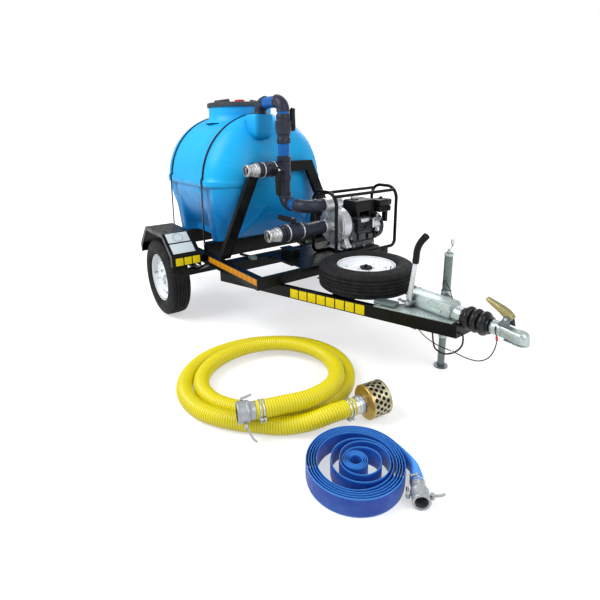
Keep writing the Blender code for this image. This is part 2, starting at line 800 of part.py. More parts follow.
def make_tank():
    outer_ends = (0.34, 0.58, 0.76, 0.90, 0.98)
    inner_ends = (0.48, 0.76)
    pockets = [STRAP_FRONT_X - 0.045, STRAP_FRONT_X - 0.095, STRAP_REAR_X + 0.045, STRAP_REAR_X + 0.095]
    outer_stations = sorted(tank_stations(outer_ends) + pockets, reverse=True)
    shell = lofted("tank_shell", outer_stations, tank_section, TANK_BLUE)
    neck = rod("neck", (TANK_X, 0, 1.44), (TANK_X, 0, NECK_TOP), NECK_RADIUS, sides=24)
    pad = box("inlet_pad", (INLET_X - 0.10, RISER_Y - 0.08, 1.335), (INLET_X + 0.055, RISER_Y + 0.09, INLET_PAD_TOP))
    soften(pad, 0.012)
    combine(shell, [neck, pad])
    hollow = lofted(
        "tank_hollow",
        tank_stations(inner_ends),
        lambda x: tank_section(x, wall=TANK_WALL, belt=0.0),
    )
    mouth = rod("neck_bore", (TANK_X, 0, 1.30), (TANK_X, 0, NECK_TOP + 0.01), NECK_RADIUS - NECK_WALL, sides=24)
    combine(shell, [hollow, mouth], "DIFFERENCE")
    rim = NECK_TOP + GAP
    lid = turned(
        "tank_lid",
        [
            (0, rim + LID_CROWN),
            (LID_RADIUS * 0.55, rim + LID_CROWN),
            (LID_RADIUS - 0.010, rim + LID_CROWN - 0.003),
            (LID_RADIUS, rim + LID_CROWN - 0.008),
            (LID_RADIUS, rim - LID_SKIRT),
            (NECK_RADIUS + 0.0045, rim - LID_SKIRT),
            (NECK_RADIUS + 0.0045, rim),
            (NECK_RADIUS - NECK_WALL - 0.02, rim),
            (NECK_RADIUS - NECK_WALL - 0.02, rim + 0.008),
            (0, rim + 0.008),
        ],
        (TANK_X, 0, 0),
        (0, 0, 1),
        LID_GREY,
        steps=18,
    )
    lug_low = rim + LID_CROWN - 0.005
    lugs = []
    for side in (-1, 1):
        lug = box(f"lid_lug_{side}", (TANK_X - 0.045, side * 0.165 - 0.055, lug_low), (TANK_X + 0.045, side * 0.165 + 0.055, lug_low + 0.036))
        lugs.append(lug)
    lugs.append(rod("lid_breather", (TANK_X, 0, lug_low), (TANK_X, 0, lug_low + 0.032), 0.03, sides=16))
    combine(lid, lugs)


def strap_line(strap_x, clearance):
    """Half of the strap's path: from the rail up past the belt and over the top."""
    belt_y = TANK_RADIUS + BELT_PROUD + clearance
    points = [(belt_y + 0.008, CHASSIS_TOP + GAP), (belt_y, TANK_AXIS_Z + BELT_TOP)]
    radius = TANK_RADIUS + clearance
    start = math.degrees(math.asin((BELT_TOP + 0.012) / radius)) + 2.0
    points += [(y, TANK_AXIS_Z + z) for y, z in arc((0, 0), radius / math.cos(math.radians(3.6)), start, 90, 12)]
    return points


def make_straps():
    for strap_x, name in zip(STRAP_XS, ("tank_strap_rear", "tank_strap_front")):
        inner = strap_line(strap_x, 0.001)
        outer = strap_line(strap_x, 0.001 + STRAP_METAL)
        over = inner + [(-y, z) for y, z in reversed(inner[:-1])]
        back = outer + [(-y, z) for y, z in reversed(outer[:-1])]
        outline(name, over + back[::-1], STRAP_WIDTH, (strap_x, 0, 0), FACE_FORWARD, BLACK_PAINT)


def make_brace():
    foot = CHASSIS_TOP + GAP
    height = BRACE_TOP - foot
    lean = (BRACE_FOOT_HALF - BRACE_TOP_HALF) / height
    across = BRACE_BAR * math.sqrt(1 + lean * lean)
    inner_top = BRACE_TOP - BRACE_BAR
    inner_half = BRACE_TOP_HALF + lean * BRACE_BAR - across
    points = [
        (BRACE_FOOT_HALF, foot),
        (BRACE_TOP_HALF, BRACE_TOP),
        (-BRACE_TOP_HALF, BRACE_TOP),
        (-BRACE_FOOT_HALF, foot),
        (-BRACE_FOOT_HALF + across, foot),
        (-inner_half, inner_top),
        (inner_half, inner_top),
        (BRACE_FOOT_HALF - across, foot),
    ]
    outline("tank_brace", points, BRACE_THICKNESS, (BRACE_X + BRACE_THICKNESS / 2, 0, 0), FACE_FORWARD, BLACK_PAINT)


def frame_loop(name, y):
    """An upside-down U of tube across the pump, with bent corners."""
    foot, top, bend = FRAME_FOOT_Z, FRAME_TOP, FRAME_BEND
    path = [(FRAME_FRONT_X, foot)]
    path += arc((FRAME_FRONT_X - bend, top - bend), bend, 0, 90, 3)
    path += arc((FRAME_BACK_X + bend, top - bend), bend, 90, 180, 3)
    path += [(FRAME_BACK_X, foot)]
    return tube(name, [(x, y, z) for x, z in path], FRAME_TUBE, resolution=1)


def make_pump_frame():
    frame = meshed(frame_loop("pump_frame", FRAME_NEAR_Y), BLACK_PAINT)
    pieces = [meshed(frame_loop("frame_far_loop", FRAME_FAR_Y))]
    rail_drop = FRAME_BEND * 0.28
    thinner = FRAME_TUBE * 0.96
    for name, x, z in (
        ("frame_foot_front", FRAME_FRONT_X, FRAME_FOOT_Z),
        ("frame_foot_back", FRAME_BACK_X, FRAME_FOOT_Z),
        ("frame_rail_front", FRAME_FRONT_X - rail_drop, FRAME_TOP - rail_drop),
        ("frame_rail_back", FRAME_BACK_X + rail_drop, FRAME_TOP - rail_drop),
    ):
        pieces.append(rod(name, (x, FRAME_NEAR_Y, z), (x, FRAME_FAR_Y, z), thinner, sides=10))
    combine(frame, pieces)


def make_pump():
    axis_at = (PUMP_X, 0, PUMP_Z)
    outward = (0, -1, 0)
    cavity = VOLUTE_RADIUS - VOLUTE_WALL
    near, far = -VOLUTE_NEAR_Y, -VOLUTE_FAR_Y
    shaft_hole = SHAFT_RADIUS + 2 * GAP
    volute = turned(
        "pump_volute",
        [
            (cavity, near),
            (VOLUTE_RADIUS + 0.008, near),
            (VOLUTE_RADIUS + 0.008, near - 0.012),
            (VOLUTE_RADIUS, near - 0.014),
            (VOLUTE_RADIUS, far + 0.025),
            (VOLUTE_RADIUS - 0.03, far),
            (shaft_hole, far),
            (shaft_hole, far + VOLUTE_WALL),
            (cavity - 0.02, far + VOLUTE_WALL),
            (cavity, far + VOLUTE_WALL + 0.015),
        ],
        axis_at,
        outward,
        ALUMINIUM,
        steps=14,
        closed=True,
    )
    port_end = 0.02
    port = rod("discharge_port", (PUMP_X, port_end, DISCHARGE_Z), (PUMP_X, VOLUTE_FAR_Y - 0.02, DISCHARGE_Z), PORT_RADIUS)
    port_neck = rod("discharge_neck", (PUMP_X, 0.158, PUMP_Z + cavity + 0.004), (PUMP_X, 0.158, DISCHARGE_Z), 0.036, sides=12)
    port_bore = rod("port_bore", (PUMP_X, port_end - 0.01, DISCHARGE_Z), (PUMP_X, VOLUTE_FAR_Y - 0.035, DISCHARGE_Z), PIPE_BORE)
    neck_bore = rod("neck_bore_2", (PUMP_X, 0.158, PUMP_Z + cavity - 0.03), (PUMP_X, 0.158, DISCHARGE_Z), 0.026, sides=12)
    foot_low = FRAME_FOOT_Z + FRAME_TUBE + GAP
    foot = box("volute_foot", (PUMP_X - 0.07, 0.13, PUMP_Z - 0.18), (PUMP_X + 0.07, 0.19, PUMP_Z - cavity - 0.004))
    combine(volute, [port, port_neck, foot])
    combine(volute, [port_bore, neck_bore], "DIFFERENCE")
    cover_face = near + GAP + COVER_THICKNESS
    bore = PIPE_BORE
    cover = turned(
        "pump_cover",
        [
            (bore, -SUCTION_PORT_Y),
            (PORT_RADIUS, -SUCTION_PORT_Y),
            (PORT_RADIUS, cover_face),
            (0.07, cover_face - 0.002),
            (VOLUTE_RADIUS + 0.004, cover_face - 0.012),
            (VOLUTE_RADIUS + 0.004, near + GAP),
            (bore, near + GAP),
        ],
        axis_at,
        outward,
        ALUMINIUM,
        steps=14,
        closed=True,
    )
    webs = []
    for i in range(5):
        web = box(f"cover_web_{i}", (0.03, -0.004, cover_face - 0.02), (0.110, 0.004, cover_face + 0.008))
        web.data.transform(Matrix.Rotation(math.radians(72 * i + 54), 4, "Z"))
        web.location = axis_at
        web.rotation_euler = cover.rotation_euler
        webs.append(web)
    web_bore = rod("cover_bore", (PUMP_X, SUCTION_PORT_Y - 0.01, PUMP_Z), (PUMP_X, VOLUTE_NEAR_Y + 0.005, PUMP_Z), bore - 0.0005)
    notch = rod("port_notch", (PUMP_X, 0.03, DISCHARGE_Z), (PUMP_X, VOLUTE_NEAR_Y + 0.005, DISCHARGE_Z), PORT_RADIUS + 0.001)
    combine(cover, webs)
    combine(cover, [web_bore, notch], "DIFFERENCE")
    engine_face = -ENGINE_NEAR_Y
    turned(
        "impeller_shaft",
        [
            (0, near - 0.012),
            (0.022, near - 0.012),
            (0.030, near - 0.045),
            (IMPELLER_RADIUS, near - 0.060),
            (IMPELLER_RADIUS, near - 0.072),
            (SHAFT_RADIUS, near - 0.076),
            (SHAFT_RADIUS, engine_face - 0.05 + GAP),
            (0, engine_face - 0.05 + GAP),
        ],
        axis_at,
        outward,
        CAST_GREY,
        steps=16,
    )


ENGINE_NEAR_Y = VOLUTE_FAR_Y + GAP
ENGINE_FAR_Y = 0.50
ENGINE_BASE = FRAME_FOOT_Z + FRAME_TUBE + GAP
FUEL_LOW = 0.800
FUEL_TOP = 0.893


def make_engine():
    block = box("engine_block", (0.845, ENGINE_NEAR_Y, 0.565), (1.0, ENGINE_FAR_Y, FUEL_LOW - 0.035), CAST_GREY)
    soften(block, 0.012)
    base_front = FRAME_FRONT_X + FRAME_TUBE
    base_back = FRAME_BACK_X - FRAME_TUBE
    recoil_far = ENGINE_FAR_Y + 0.07
    pieces = [
        box("engine_base", (base_back, 0.23, ENGINE_BASE), (base_front, 0.48, 0.58)),
        box("cylinder", (0.98, 0.27, 0.66), (1.032, 0.42, FUEL_LOW - 0.03)),
        rod("shaft_boss", (PUMP_X, VOLUTE_FAR_Y + 2 * GAP, PUMP_Z), (PUMP_X, 0.27, PUMP_Z), 0.055),
        rod("recoil_cover", (PUMP_X, ENGINE_FAR_Y - 0.005, 0.68), (PUMP_X, recoil_far, 0.68), 0.105, end_radius=0.09, sides=14),
        soften(box("muffler", (0.775, 0.28, 0.755), (0.8447, 0.46, 0.86)), 0.015, 2),
        box("exhaust_stub", (0.83, 0.34, 0.74), (0.87, 0.40, 0.78)),
        box("tank_bracket_near", (0.86, 0.30, FUEL_LOW - 0.05), (0.985, 0.33, FUEL_LOW - GAP)),
        box("tank_bracket_far", (0.86, 0.42, FUEL_LOW - 0.05), (0.985, 0.45, FUEL_LOW - GAP)),
    ]
    combine(block, pieces)
    bore = rod("crank_bore", (PUMP_X, VOLUTE_FAR_Y - 0.01, PUMP_Z), (PUMP_X, ENGINE_NEAR_Y + 0.05, PUMP_Z), SHAFT_RADIUS + 2 * GAP)
    combine(block, [bore], "DIFFERENCE")
    soften(box("fuel_tank", (0.85, 0.275, FUEL_LOW), (1.0, 0.475, FUEL_TOP), ENGINE_BLACK), 0.015, 2)
    cap_z = FUEL_TOP + GAP
    turned(
        "fuel_cap",
        [(0, cap_z + 0.022), (0.022, cap_z + 0.022), (0.028, cap_z + 0.016), (0.028, cap_z), (0, cap_z)],
        (0.92, 0.335, 0),
        (0, 0, 1),
        ALUMINIUM,
        steps=16,
    )
    cleaner = box("air_cleaner", (0.925, 0.4753, 0.79), (1.045, 0.61, 0.885), ENGINE_BLACK)
    soften(cleaner, 0.012, 2)
    combine(
        cleaner,
        [
            box("cleaner_elbow", (0.97, 0.575, 0.705), (1.01, 0.605, 0.80)),
            rod("cleaner_knob", (0.985, 0.545, 0.88), (0.985, 0.545, 0.905), 0.014, sides=10),
        ],
    )
    carburettor = box("carburettor", (1.0003, 0.4203, 0.68), (1.055, ENGINE_FAR_Y - 0.0055, 0.745), ALUMINIUM)
    soften(carburettor, 0.008)
    combine(carburettor, [box("carburettor_bowl", (1.008, 0.44, 0.655), (1.045, 0.49, 0.69))])
    grip_at = (PUMP_X + 0.005, recoil_face(), 0.70)
    turned(
        "starter_grip",
        [(0, 0.030), (0.010, 0.030), (0.012, 0.022), (0.010, 0.0), (0, 0.0)],
        grip_at,
        (0, 1, 0),
        ENGINE_BLACK,
        steps=10,
    )


def recoil_face():
    return ENGINE_FAR_Y + 0.07 + GAP


def make_lever(name, pivot, stem, along, length):
    """A valve handle on its stem: pivot is the valve's centre, stem and along are unit axes."""
    pivot, stem, along = Vector(pivot), Vector(stem), Vector(along)
    across = stem.cross(along)
    root = pivot + stem * (FITTING_RADIUS + 0.010)
    seat = pivot + stem * STEM_REACH
    start = seat - along * 0.022
    end = seat + along * length
    corners = [
        point + across * (sign * LEVER_WIDTH / 2) + stem * (height * LEVER_THICKNESS)
        for point in (start, end)
        for sign in (-1, 1)
        for height in (0, 1)
    ]
    low = [min(c[i] for c in corners) for i in range(3)]
    high = [max(c[i] for c in corners) for i in range(3)]
    lever = box(name, low, high, PVC_GREY)
    soften(lever, 0.004)
    combine(lever, [rod(f"{name}_stem", root + stem * GAP, seat + stem * 0.004, 0.012, sides=10)])
    pivot_at(lever, root)
    return lever


def camlock_profile(length):
    bore = CAMLOCK_BORE
    return [
        (bore, length),
        (0.040, length),
        (0.0435, length - 0.006),
        (0.0435, length - 0.018),
        (0.037, length - 0.026),
        (0.037, length - 0.036),
        (0.0435, length - 0.044),
        (0.0435, length - 0.062),
        (0.048, length - 0.068),
        (0.048, 0.0),
        (bore, 0.0),
    ]


def make_suction_line():
    start = SUCTION_PORT_Y - GAP
    body = rod("suction_valve", (PUMP_X, start, PUMP_Z), (PUMP_X, SUCTION_END_Y, PUMP_Z), 0.049, PVC_GREY, sides=14)
    pieces = [
        rod("suction_collar", (PUMP_X, -0.155, PUMP_Z), (PUMP_X, SUCTION_END_Y + 0.002, PUMP_Z), 0.056, sides=14),
        rod("suction_boss", (PUMP_X, SUCTION_VALVE_Y, PUMP_Z), (PUMP_X, SUCTION_VALVE_Y, PUMP_Z + FITTING_RADIUS + 0.010), 0.02, sides=12),
    ]
    combine(body, pieces)
    bore = rod("suction_bore", (PUMP_X, start + 0.01, PUMP_Z), (PUMP_X, SUCTION_END_Y - 0.01, PUMP_Z), PIPE_BORE)
    combine(body, [bore], "DIFFERENCE")
    turned(
        "suction_camlock",
        camlock_profile(CAMLOCK_LENGTH),
        (PUMP_X, SUCTION_END_Y - GAP, PUMP_Z),
        (0, -1, 0),
        ALUMINIUM,
        steps=14,
        closed=True,
    )
    make_lever("suction_valve_lever", (PUMP_X, SUCTION_VALVE_Y, PUMP_Z), (0, 0, 1), (-1, 0, 0), SUCTION_LEVER_LENGTH)


def bent_path(corners, radius, count=4):
    """A path through corners, each corner turned with an arc of radius."""
    path = [Vector(corners[0])]
    for i in range(1, len(corners) - 1):
        corner = Vector(corners[i])
        back = (Vector(corners[i - 1]) - corner).normalized()
        ahead = (Vector(corners[i + 1]) - corner).normalized()
        centre = corner + (back + ahead) * radius
        for j in range(count + 1):
            angle = math.pi / 2 * j / count
            path.append(centre - ahead * radius * math.cos(angle) - back * radius * math.sin(angle))
    path.append(Vector(corners[-1]))
    return path


def piped(name, corners, finish, bore=PIPE_BORE):
    """A bent pipe with thicker fittings at its bends and its bore cut through."""
    path = bent_path(corners, ELBOW_RADIUS)
    body = meshed(tube(name, path, FITTING_RADIUS), finish)
    first, last = path[0], path[-1]
    longer = [first + (first - path[1]).normalized() * 0.01] + path[1:-1]
    longer.append(last + (last - path[-2]).normalized() * 0.01)
    inside = meshed(tube(f"{name}_bore", longer, bore, resolution=1))
    combine(body, [inside], "DIFFERENCE")
    return body


def make_discharge_line():
    tee_low = TEE_Z - TEE_HALF
    piped(
        "discharge_pipe",
        [
            (PUMP_X, SUCTION_PORT_Y - GAP, DISCHARGE_Z),
            (PUMP_X, RISER_Y, DISCHARGE_Z),
            (RISER_X, RISER_Y, DISCHARGE_Z),
            (RISER_X, RISER_Y, tee_low - GAP),
        ],
        PVC_GREY,
    )
    tee = rod("riser_tee", (RISER_X, RISER_Y, tee_low), (RISER_X, RISER_Y, TEE_Z + TEE_HALF), FITTING_RADIUS, PVC_GREY, sides=14)
    branch_start = RISER_Y - TEE_HALF
    combine(tee, [rod("tee_branch", (RISER_X, RISER_Y, TEE_Z), (RISER_X, branch_start, TEE_Z), FITTING_RADIUS * 0.98, sides=14)])
    combine(
        tee,
        [
            rod("tee_bore", (RISER_X, RISER_Y, tee_low - 0.01), (RISER_X, RISER_Y, TEE_Z + TEE_HALF + 0.01), PIPE_BORE),
            rod("tee_side_bore", (RISER_X, RISER_Y, TEE_Z), (RISER_X, branch_start - 0.01, TEE_Z), PIPE_BORE * 0.97),
        ],
        "DIFFERENCE",
    )
    valve = rod("branch_valve", (RISER_X, branch_start - GAP, TEE_Z), (RISER_X, BRANCH_END_Y, TEE_Z), 0.051, PVC_GREY, sides=14)
    boss = rod("branch_boss", (RISER_X, BRANCH_VALVE_Y, TEE_Z), (RISER_X + FITTING_RADIUS + 0.010, BRANCH_VALVE_Y, TEE_Z), 0.02, sides=12)
    combine(valve, [boss])
    combine(
        valve,
        [rod("branch_bore", (RISER_X, branch_start, TEE_Z), (RISER_X, BRANCH_END_Y - 0.01, TEE_Z), PIPE_BORE)],
        "DIFFERENCE",
    )
    turned(
        "branch_camlock",
        camlock_profile(CAMLOCK_LENGTH),
        (RISER_X, BRANCH_END_Y - GAP, TEE_Z),
        (0, -1, 0),
        ALUMINIUM,
        steps=14,
        closed=True,
    )
    make_lever("branch_valve_lever", (RISER_X, BRANCH_VALVE_Y, TEE_Z), (1, 0, 0), (0, 0, -1), BRANCH_LEVER_LENGTH)
    valve_low = TEE_Z + TEE_HALF + GAP
    middle = (RISER_PIPE_TOP + RISER_VALVE_TOP) / 2
    riser = rod("riser_valve", (RISER_X, RISER_Y, valve_low), (RISER_X, RISER_Y, RISER_VALVE_TOP), PIPE_RADIUS, PVC_GREY, sides=14)
    combine(
        riser,
        [
            rod("riser_body", (RISER_X, RISER_Y, RISER_PIPE_TOP), (RISER_X, RISER_Y, RISER_VALVE_TOP - 0.012), FITTING_RADIUS * 1.02, sides=14),
            rod("riser_union", (RISER_X, RISER_Y, middle - 0.005), (RISER_X, RISER_Y, middle + 0.045), 0.056, sides=14),
            rod("riser_boss", (RISER_X, RISER_Y, middle), (RISER_X, RISER_Y + FITTING_RADIUS + 0.010, middle), 0.02, sides=12),
        ],
    )
    combine(
        riser,
        [rod("riser_bore", (RISER_X, RISER_Y, valve_low - 0.01), (RISER_X, RISER_Y, RISER_VALVE_TOP + 0.01), PIPE_BORE)],
        "DIFFERENCE",
    )
    make_lever("riser_valve_lever", (RISER_X, RISER_Y, middle), (0, 1, 0), (0, 0, 1), RISER_LEVER_LENGTH)
    piped(
        "return_bend",
        [
            (RISER_X, RISER_Y, RISER_VALVE_TOP + GAP),
            (RISER_X, RISER_Y, RETURN_Z),
            (INLET_X, RISER_Y, RETURN_Z),
            (INLET_X, RISER_Y, INLET_PAD_TOP + GAP),
        ],
        PVC_GREY,
    )


def drawbar_half(x):
    return DRAWBAR_REAR_HALF - DRAWBAR_SLOPE * (x - DRAWBAR_REAR_X)


def make_coupling():
    plate_rear = HOUSING_REAR_X - 0.09
    front = DRAWBAR_FRONT_X - 0.02
    inset = 0.004
    points = [
        (plate_rear, drawbar_half(plate_rear) - inset),
        (front, drawbar_half(front) - inset),
        (front, -drawbar_half(front) + inset),
        (plate_rear, -drawbar_half(plate_rear) + inset),
        (plate_rear + 0.03, -drawbar_half(plate_rear) + 0.05),
        (HOUSING_REAR_X, -HOUSING_HALF),
        (HOUSING_REAR_X, HOUSING_HALF),
        (plate_rear + 0.03, drawbar_half(plate_rear) - 0.05),
    ]
    housing = outline(
        "coupling_housing",
        points,
        HOUSING_PLATE,
        (0, 0, DRAWBAR_TOP + GAP + HOUSING_PLATE / 2),
        (0, 0, 0),
        GALVANISED,
    )
    body = box(
        "housing_body",
        (HOUSING_REAR_X, -HOUSING_HALF, DRAWBAR_TOP + GAP + 0.001),
        (HOUSING_FRONT_X, HOUSING_HALF, HOUSING_TOP),
    )
    soften(body, 0.02, 2)
    snout = rod("housing_snout", (HOUSING_FRONT_X - 0.05, 0, COUPLING_Z), (SNOUT_X, 0, COUPLING_Z), SNOUT_RADIUS, sides=14)
    combine(housing, [body, snout])
    bore_end = DRAW_SHAFT_REAR_X - OVERRUN_TRAVEL - 0.01
    bore = rod("shaft_bore", (bore_end, 0, COUPLING_Z), (SNOUT_X + 0.01, 0, COUPLING_Z), DRAW_SHAFT_RADIUS + GAP)
    combine(housing, [bore], "DIFFERENCE")
    shaft = rod(
        "coupling_head", (DRAW_SHAFT_REAR_X, 0, COUPLING_Z), (HEAD_REAR_X + 0.02, 0, COUPLING_Z), DRAW_SHAFT_RADIUS, GALVANISED
    )
    cup_z = COUPLING_Z - 0.012
    yoke = rod("head_yoke", (HEAD_REAR_X, 0, COUPLING_Z), (HEAD_REAR_X + 0.06, 0, COUPLING_Z), HEAD_YOKE_RADIUS)
    neck = box("head_neck", (HEAD_REAR_X + 0.03, -0.024, COUPLING_Z - 0.03), (BALL_X, 0.024, COUPLING_Z + 0.022))
    soften(neck, 0.008)
    cup = rod("head_cup", (BALL_X, 0, COUPLING_Z - 0.038), (BALL_X, 0, COUPLING_Z + 0.012), CUP_RADIUS, sides=14)
    dome = rod("head_dome", (BALL_X, 0, COUPLING_Z + 0.010), (BALL_X, 0, COUPLING_Z + 0.026), CUP_RADIUS, sides=14, end_radius=0.018)
    combine(shaft, [yoke, neck, cup, dome])
    socket = rod("ball_socket", (BALL_X, 0, COUPLING_Z - 0.05), (BALL_X, 0, cup_z), BALL_RADIUS, sides=16)
    socket_top = rod("ball_socket_top", (BALL_X, 0, cup_z - 0.001), (BALL_X, 0, cup_z + 0.018), BALL_RADIUS, sides=16, end_radius=0.012)
    slot = box("latch_slot", (LATCH_X - 0.035, -0.009, COUPLING_Z + 0.012), (LATCH_X + 0.03, 0.009, COUPLING_Z + 0.04))
    combine(shaft, [socket, socket_top, slot], "DIFFERENCE")
    neck_clear = DRAW_SHAFT_RADIUS + 0.0006
    lobe_count = 3
    rear, forward = SNOUT_X + GAP, HEAD_REAR_X - GAP
    collar = 0.012
    lobe = (forward - rear - 2 * collar) / lobe_count
    profile = [(neck_clear, forward), (BELLOWS_NECK, forward), (BELLOWS_NECK, forward - collar)]
    for i in range(lobe_count):
        top = forward - collar - i * lobe
        profile += [
            (BELLOWS_RADIUS, top - lobe * 0.35),
            (BELLOWS_RADIUS, top - lobe * 0.65),
            (BELLOWS_NECK, top - lobe),
        ]
    profile += [(BELLOWS_NECK, rear), (neck_clear, rear)]
    turned("coupling_bellows", profile, (0, 0, COUPLING_Z), (1, 0, 0), RUBBER, steps=14, closed=True)
    make_latch()


def make_latch():
    pivot = (LATCH_X, 0, LATCH_Z)
    hub = rod("latch_handle", (LATCH_X, -0.022, LATCH_Z), (LATCH_X, 0.022, LATCH_Z), 0.017, ZINC_YELLOW)
    path = [
        (LATCH_X, 0, LATCH_Z),
        (LATCH_X - 0.018, 0, LATCH_Z + 0.030),
        (LATCH_X - 0.060, 0, LATCH_Z + 0.050),
        (LATCH_X - 0.112, 0, LATCH_Z + 0.068),
    ]
    handle = meshed(tube("latch_grip", path, 0.009))
    block = box("latch_tongue", (LATCH_X - 0.005, -0.008, COUPLING_Z + 0.0125), (LATCH_X + 0.005, 0.008, LATCH_Z))
    combine(hub, [handle, block])
    pivot_at(hub, pivot)


def make_handbrake():
    lower = (BRAKE_X, BRAKE_Y, BRAKE_Z)
    path = [
        lower,
        (BRAKE_X + 0.031, BRAKE_Y, 0.690),
        (BRAKE_X + 0.0311, BRAKE_Y, 0.692),
        (BRAKE_X + 0.038, BRAKE_Y, 0.765),
        (BRAKE_X + 0.056, BRAKE_Y, 0.808),
        (BRAKE_X + 0.092, BRAKE_Y, 0.852),
    ]
    grip = BRAKE_GRIP / BRAKE_BAR
    bar = meshed(tube("handbrake_lever", path, BRAKE_BAR, scales=[1, 1, grip, grip, grip, grip * 0.8]), GALVANISED)
    side = -HOUSING_HALF - GAP
    combine(bar, [rod("brake_hub", (BRAKE_X, side, BRAKE_Z), (BRAKE_X, BRAKE_Y - 0.012, BRAKE_Z), 0.022, sides=14)])
    pivot_at(bar, lower)


def make_jockey():
    post = rod(
        "jockey_tube",
        (JOCKEY_X, JOCKEY_Y, JOCKEY_TUBE_BOTTOM),
        (JOCKEY_X, JOCKEY_Y, JOCKEY_TUBE_TOP),
        JOCKEY_TUBE_RADIUS,
        GALVANISED,
        sides=14,
    )
    clamp_low, clamp_high = JOCKEY_CLAMP_Z - 0.045, JOCKEY_CLAMP_Z + 0.045
    collar = rod("jockey_clamp", (JOCKEY_X, JOCKEY_Y, clamp_low), (JOCKEY_X, JOCKEY_Y, clamp_high), 0.0275, sides=16)
    depth = 0.030
    seat = DRAWBAR_TOP - DRAWBAR_DEPTH
    pad = box("jockey_pad", (-0.03, -depth / 2, 0), (0.03, depth / 2, clamp_high - seat - 0.02))
    face_y = drawbar_half(JOCKEY_X)
    normal = Vector((math.sin(DRAWBAR_ANGLE), math.cos(DRAWBAR_ANGLE), 0))
    middle = Vector((JOCKEY_X, face_y, seat)) + normal * (depth / 2 + GAP)
    middle += Vector((normal.y, -normal.x, 0)) * 0.010
    pad.location = middle
    pad.rotation_euler = (0, 0, -DRAWBAR_ANGLE)
    combine(post, [collar, pad])
    bore = rod(
        "jockey_bore",
        (JOCKEY_X, JOCKEY_Y, JOCKEY_TUBE_BOTTOM - 0.01),
        (JOCKEY_X, JOCKEY_Y, JOCKEY_TUBE_TOP - 0.012),
        JOCKEY_LEG_RADIUS + GAP,
        sides=14,
    )
    combine(post, [bore], "DIFFERENCE")
    leg = rod("jockey_leg", (JOCKEY_X, JOCKEY_Y, 0.004), (JOCKEY_X, JOCKEY_Y, 0.46), JOCKEY_LEG_RADIUS, GALVANISED, sides=14)
    foot = rod(
        "jockey_foot", (JOCKEY_X, JOCKEY_Y, 0), (JOCKEY_X, JOCKEY_Y, JOCKEY_FOOT_THICKNESS), JOCKEY_FOOT_RADIUS, sides=14
    )
    combine(leg, [foot])
    pivot_at(leg, (JOCKEY_X, JOCKEY_Y, 0))
    top = JOCKEY_TUBE_TOP + GAP
    reach = Vector((-0.018, 0.058, 0))
    foot = Vector((JOCKEY_X, JOCKEY_Y, top))
    path = [
        foot,
        foot + Vector((0, 0, 0.018)),
        foot + reach * 0.35 + Vector((0, 0, 0.026)),
        foot + reach * 0.85 + Vector((0, 0, 0.028)),
        foot + reach + Vector((0, 0, 0.036)),
        foot + reach + Vector((0, 0, 0.037)),
        foot + reach + Vector((0, 0, 0.066)),
    ]
    crank = meshed(tube("jockey_crank", path, 0.006, scales=[2.0, 1.6, 1, 1, 1, 1.9, 1.9]), GALVANISED)
    pivot_at(crank, (JOCKEY_X, JOCKEY_Y, top))


# The suction hose's route: turns from its coupler, radius of the loop there, height of its centre
HOSE_ROUTE = (
    (0.00, 0.443, 0.1400),
    (0.05, 0.411, 0.1388),
    (0.10, 0.408, 0.1345),
    (0.16, 0.404, 0.1326),
    (0.195, 0.390, 0.1322),
    (0.23, 0.369, 0.118),
    (0.29, 0.347, 0.100),
    (0.38, 0.331, 0.087),
    (0.50, 0.322, 0.079),
    (0.62, 0.334, 0.070),
    (0.73, 0.375, 0.056),
    (0.80, 0.384, 0.048),
    (0.87, 0.362, 0.0428),
    (0.94, 0.330, 0.0428),
    (1.02, 0.322, 0.0428),
    (1.09, 0.340, 0.0428),
    (1.17, 0.398, 0.0428),
    (1.25, 0.428, 0.0428),
    (1.35, 0.438, 0.0428),
    (1.43, 0.424, 0.0428),
    (1.52, 0.406, 0.0428),
    (1.61, 0.423, 0.0428),
    (1.71, 0.462, 0.0428),
    (1.80, 0.474, 0.0428),
    (1.88, 0.451, 0.0428),
    (1.94, 0.421, 0.0428),
    (2.00, 0.412, 0.0428),
    (2.05, 0.438, 0.0437),
    (2.09, 0.474, 0.062),
    (2.125, 0.509, 0.0845),
    (2.145, 0.532, 0.0858),
)


def hose_route_part(turn):
    """The route's polar values at turn, with the same slope on both sides of every row."""
    rows = HOSE_ROUTE
    i = 0
    while i < len(rows) - 2 and rows[i + 1][0] < turn:
        i += 1
    before, after = rows[max(i - 1, 0)], rows[min(i + 2, len(rows) - 1)]
    here, ahead = rows[i], rows[i + 1]
    span = ahead[0] - here[0]
    t = (turn - here[0]) / span
    values = []
    for k in (1, 2):
        slope_here = (ahead[k] - before[k]) / (ahead[0] - before[0]) * span
        slope_ahead = (after[k] - here[k]) / (after[0] - here[0]) * span
        start, end = here[k], ahead[k]
        cubic = (2 * t**3 - 3 * t**2 + 1) * start + (t**3 - 2 * t**2 + t) * slope_here
        values.append(cubic + (3 * t**2 - 2 * t**3) * end + (t**3 - t**2) * slope_ahead)
    return values


def hose_point(turn):
    angle = math.radians(HOSE_START_ANGLE) + 2 * math.pi * turn
    radius, height = hose_route_part(turn)
    return Vector((HOSE_X + radius * math.cos(angle), HOSE_Y + radius * math.sin(angle), height))


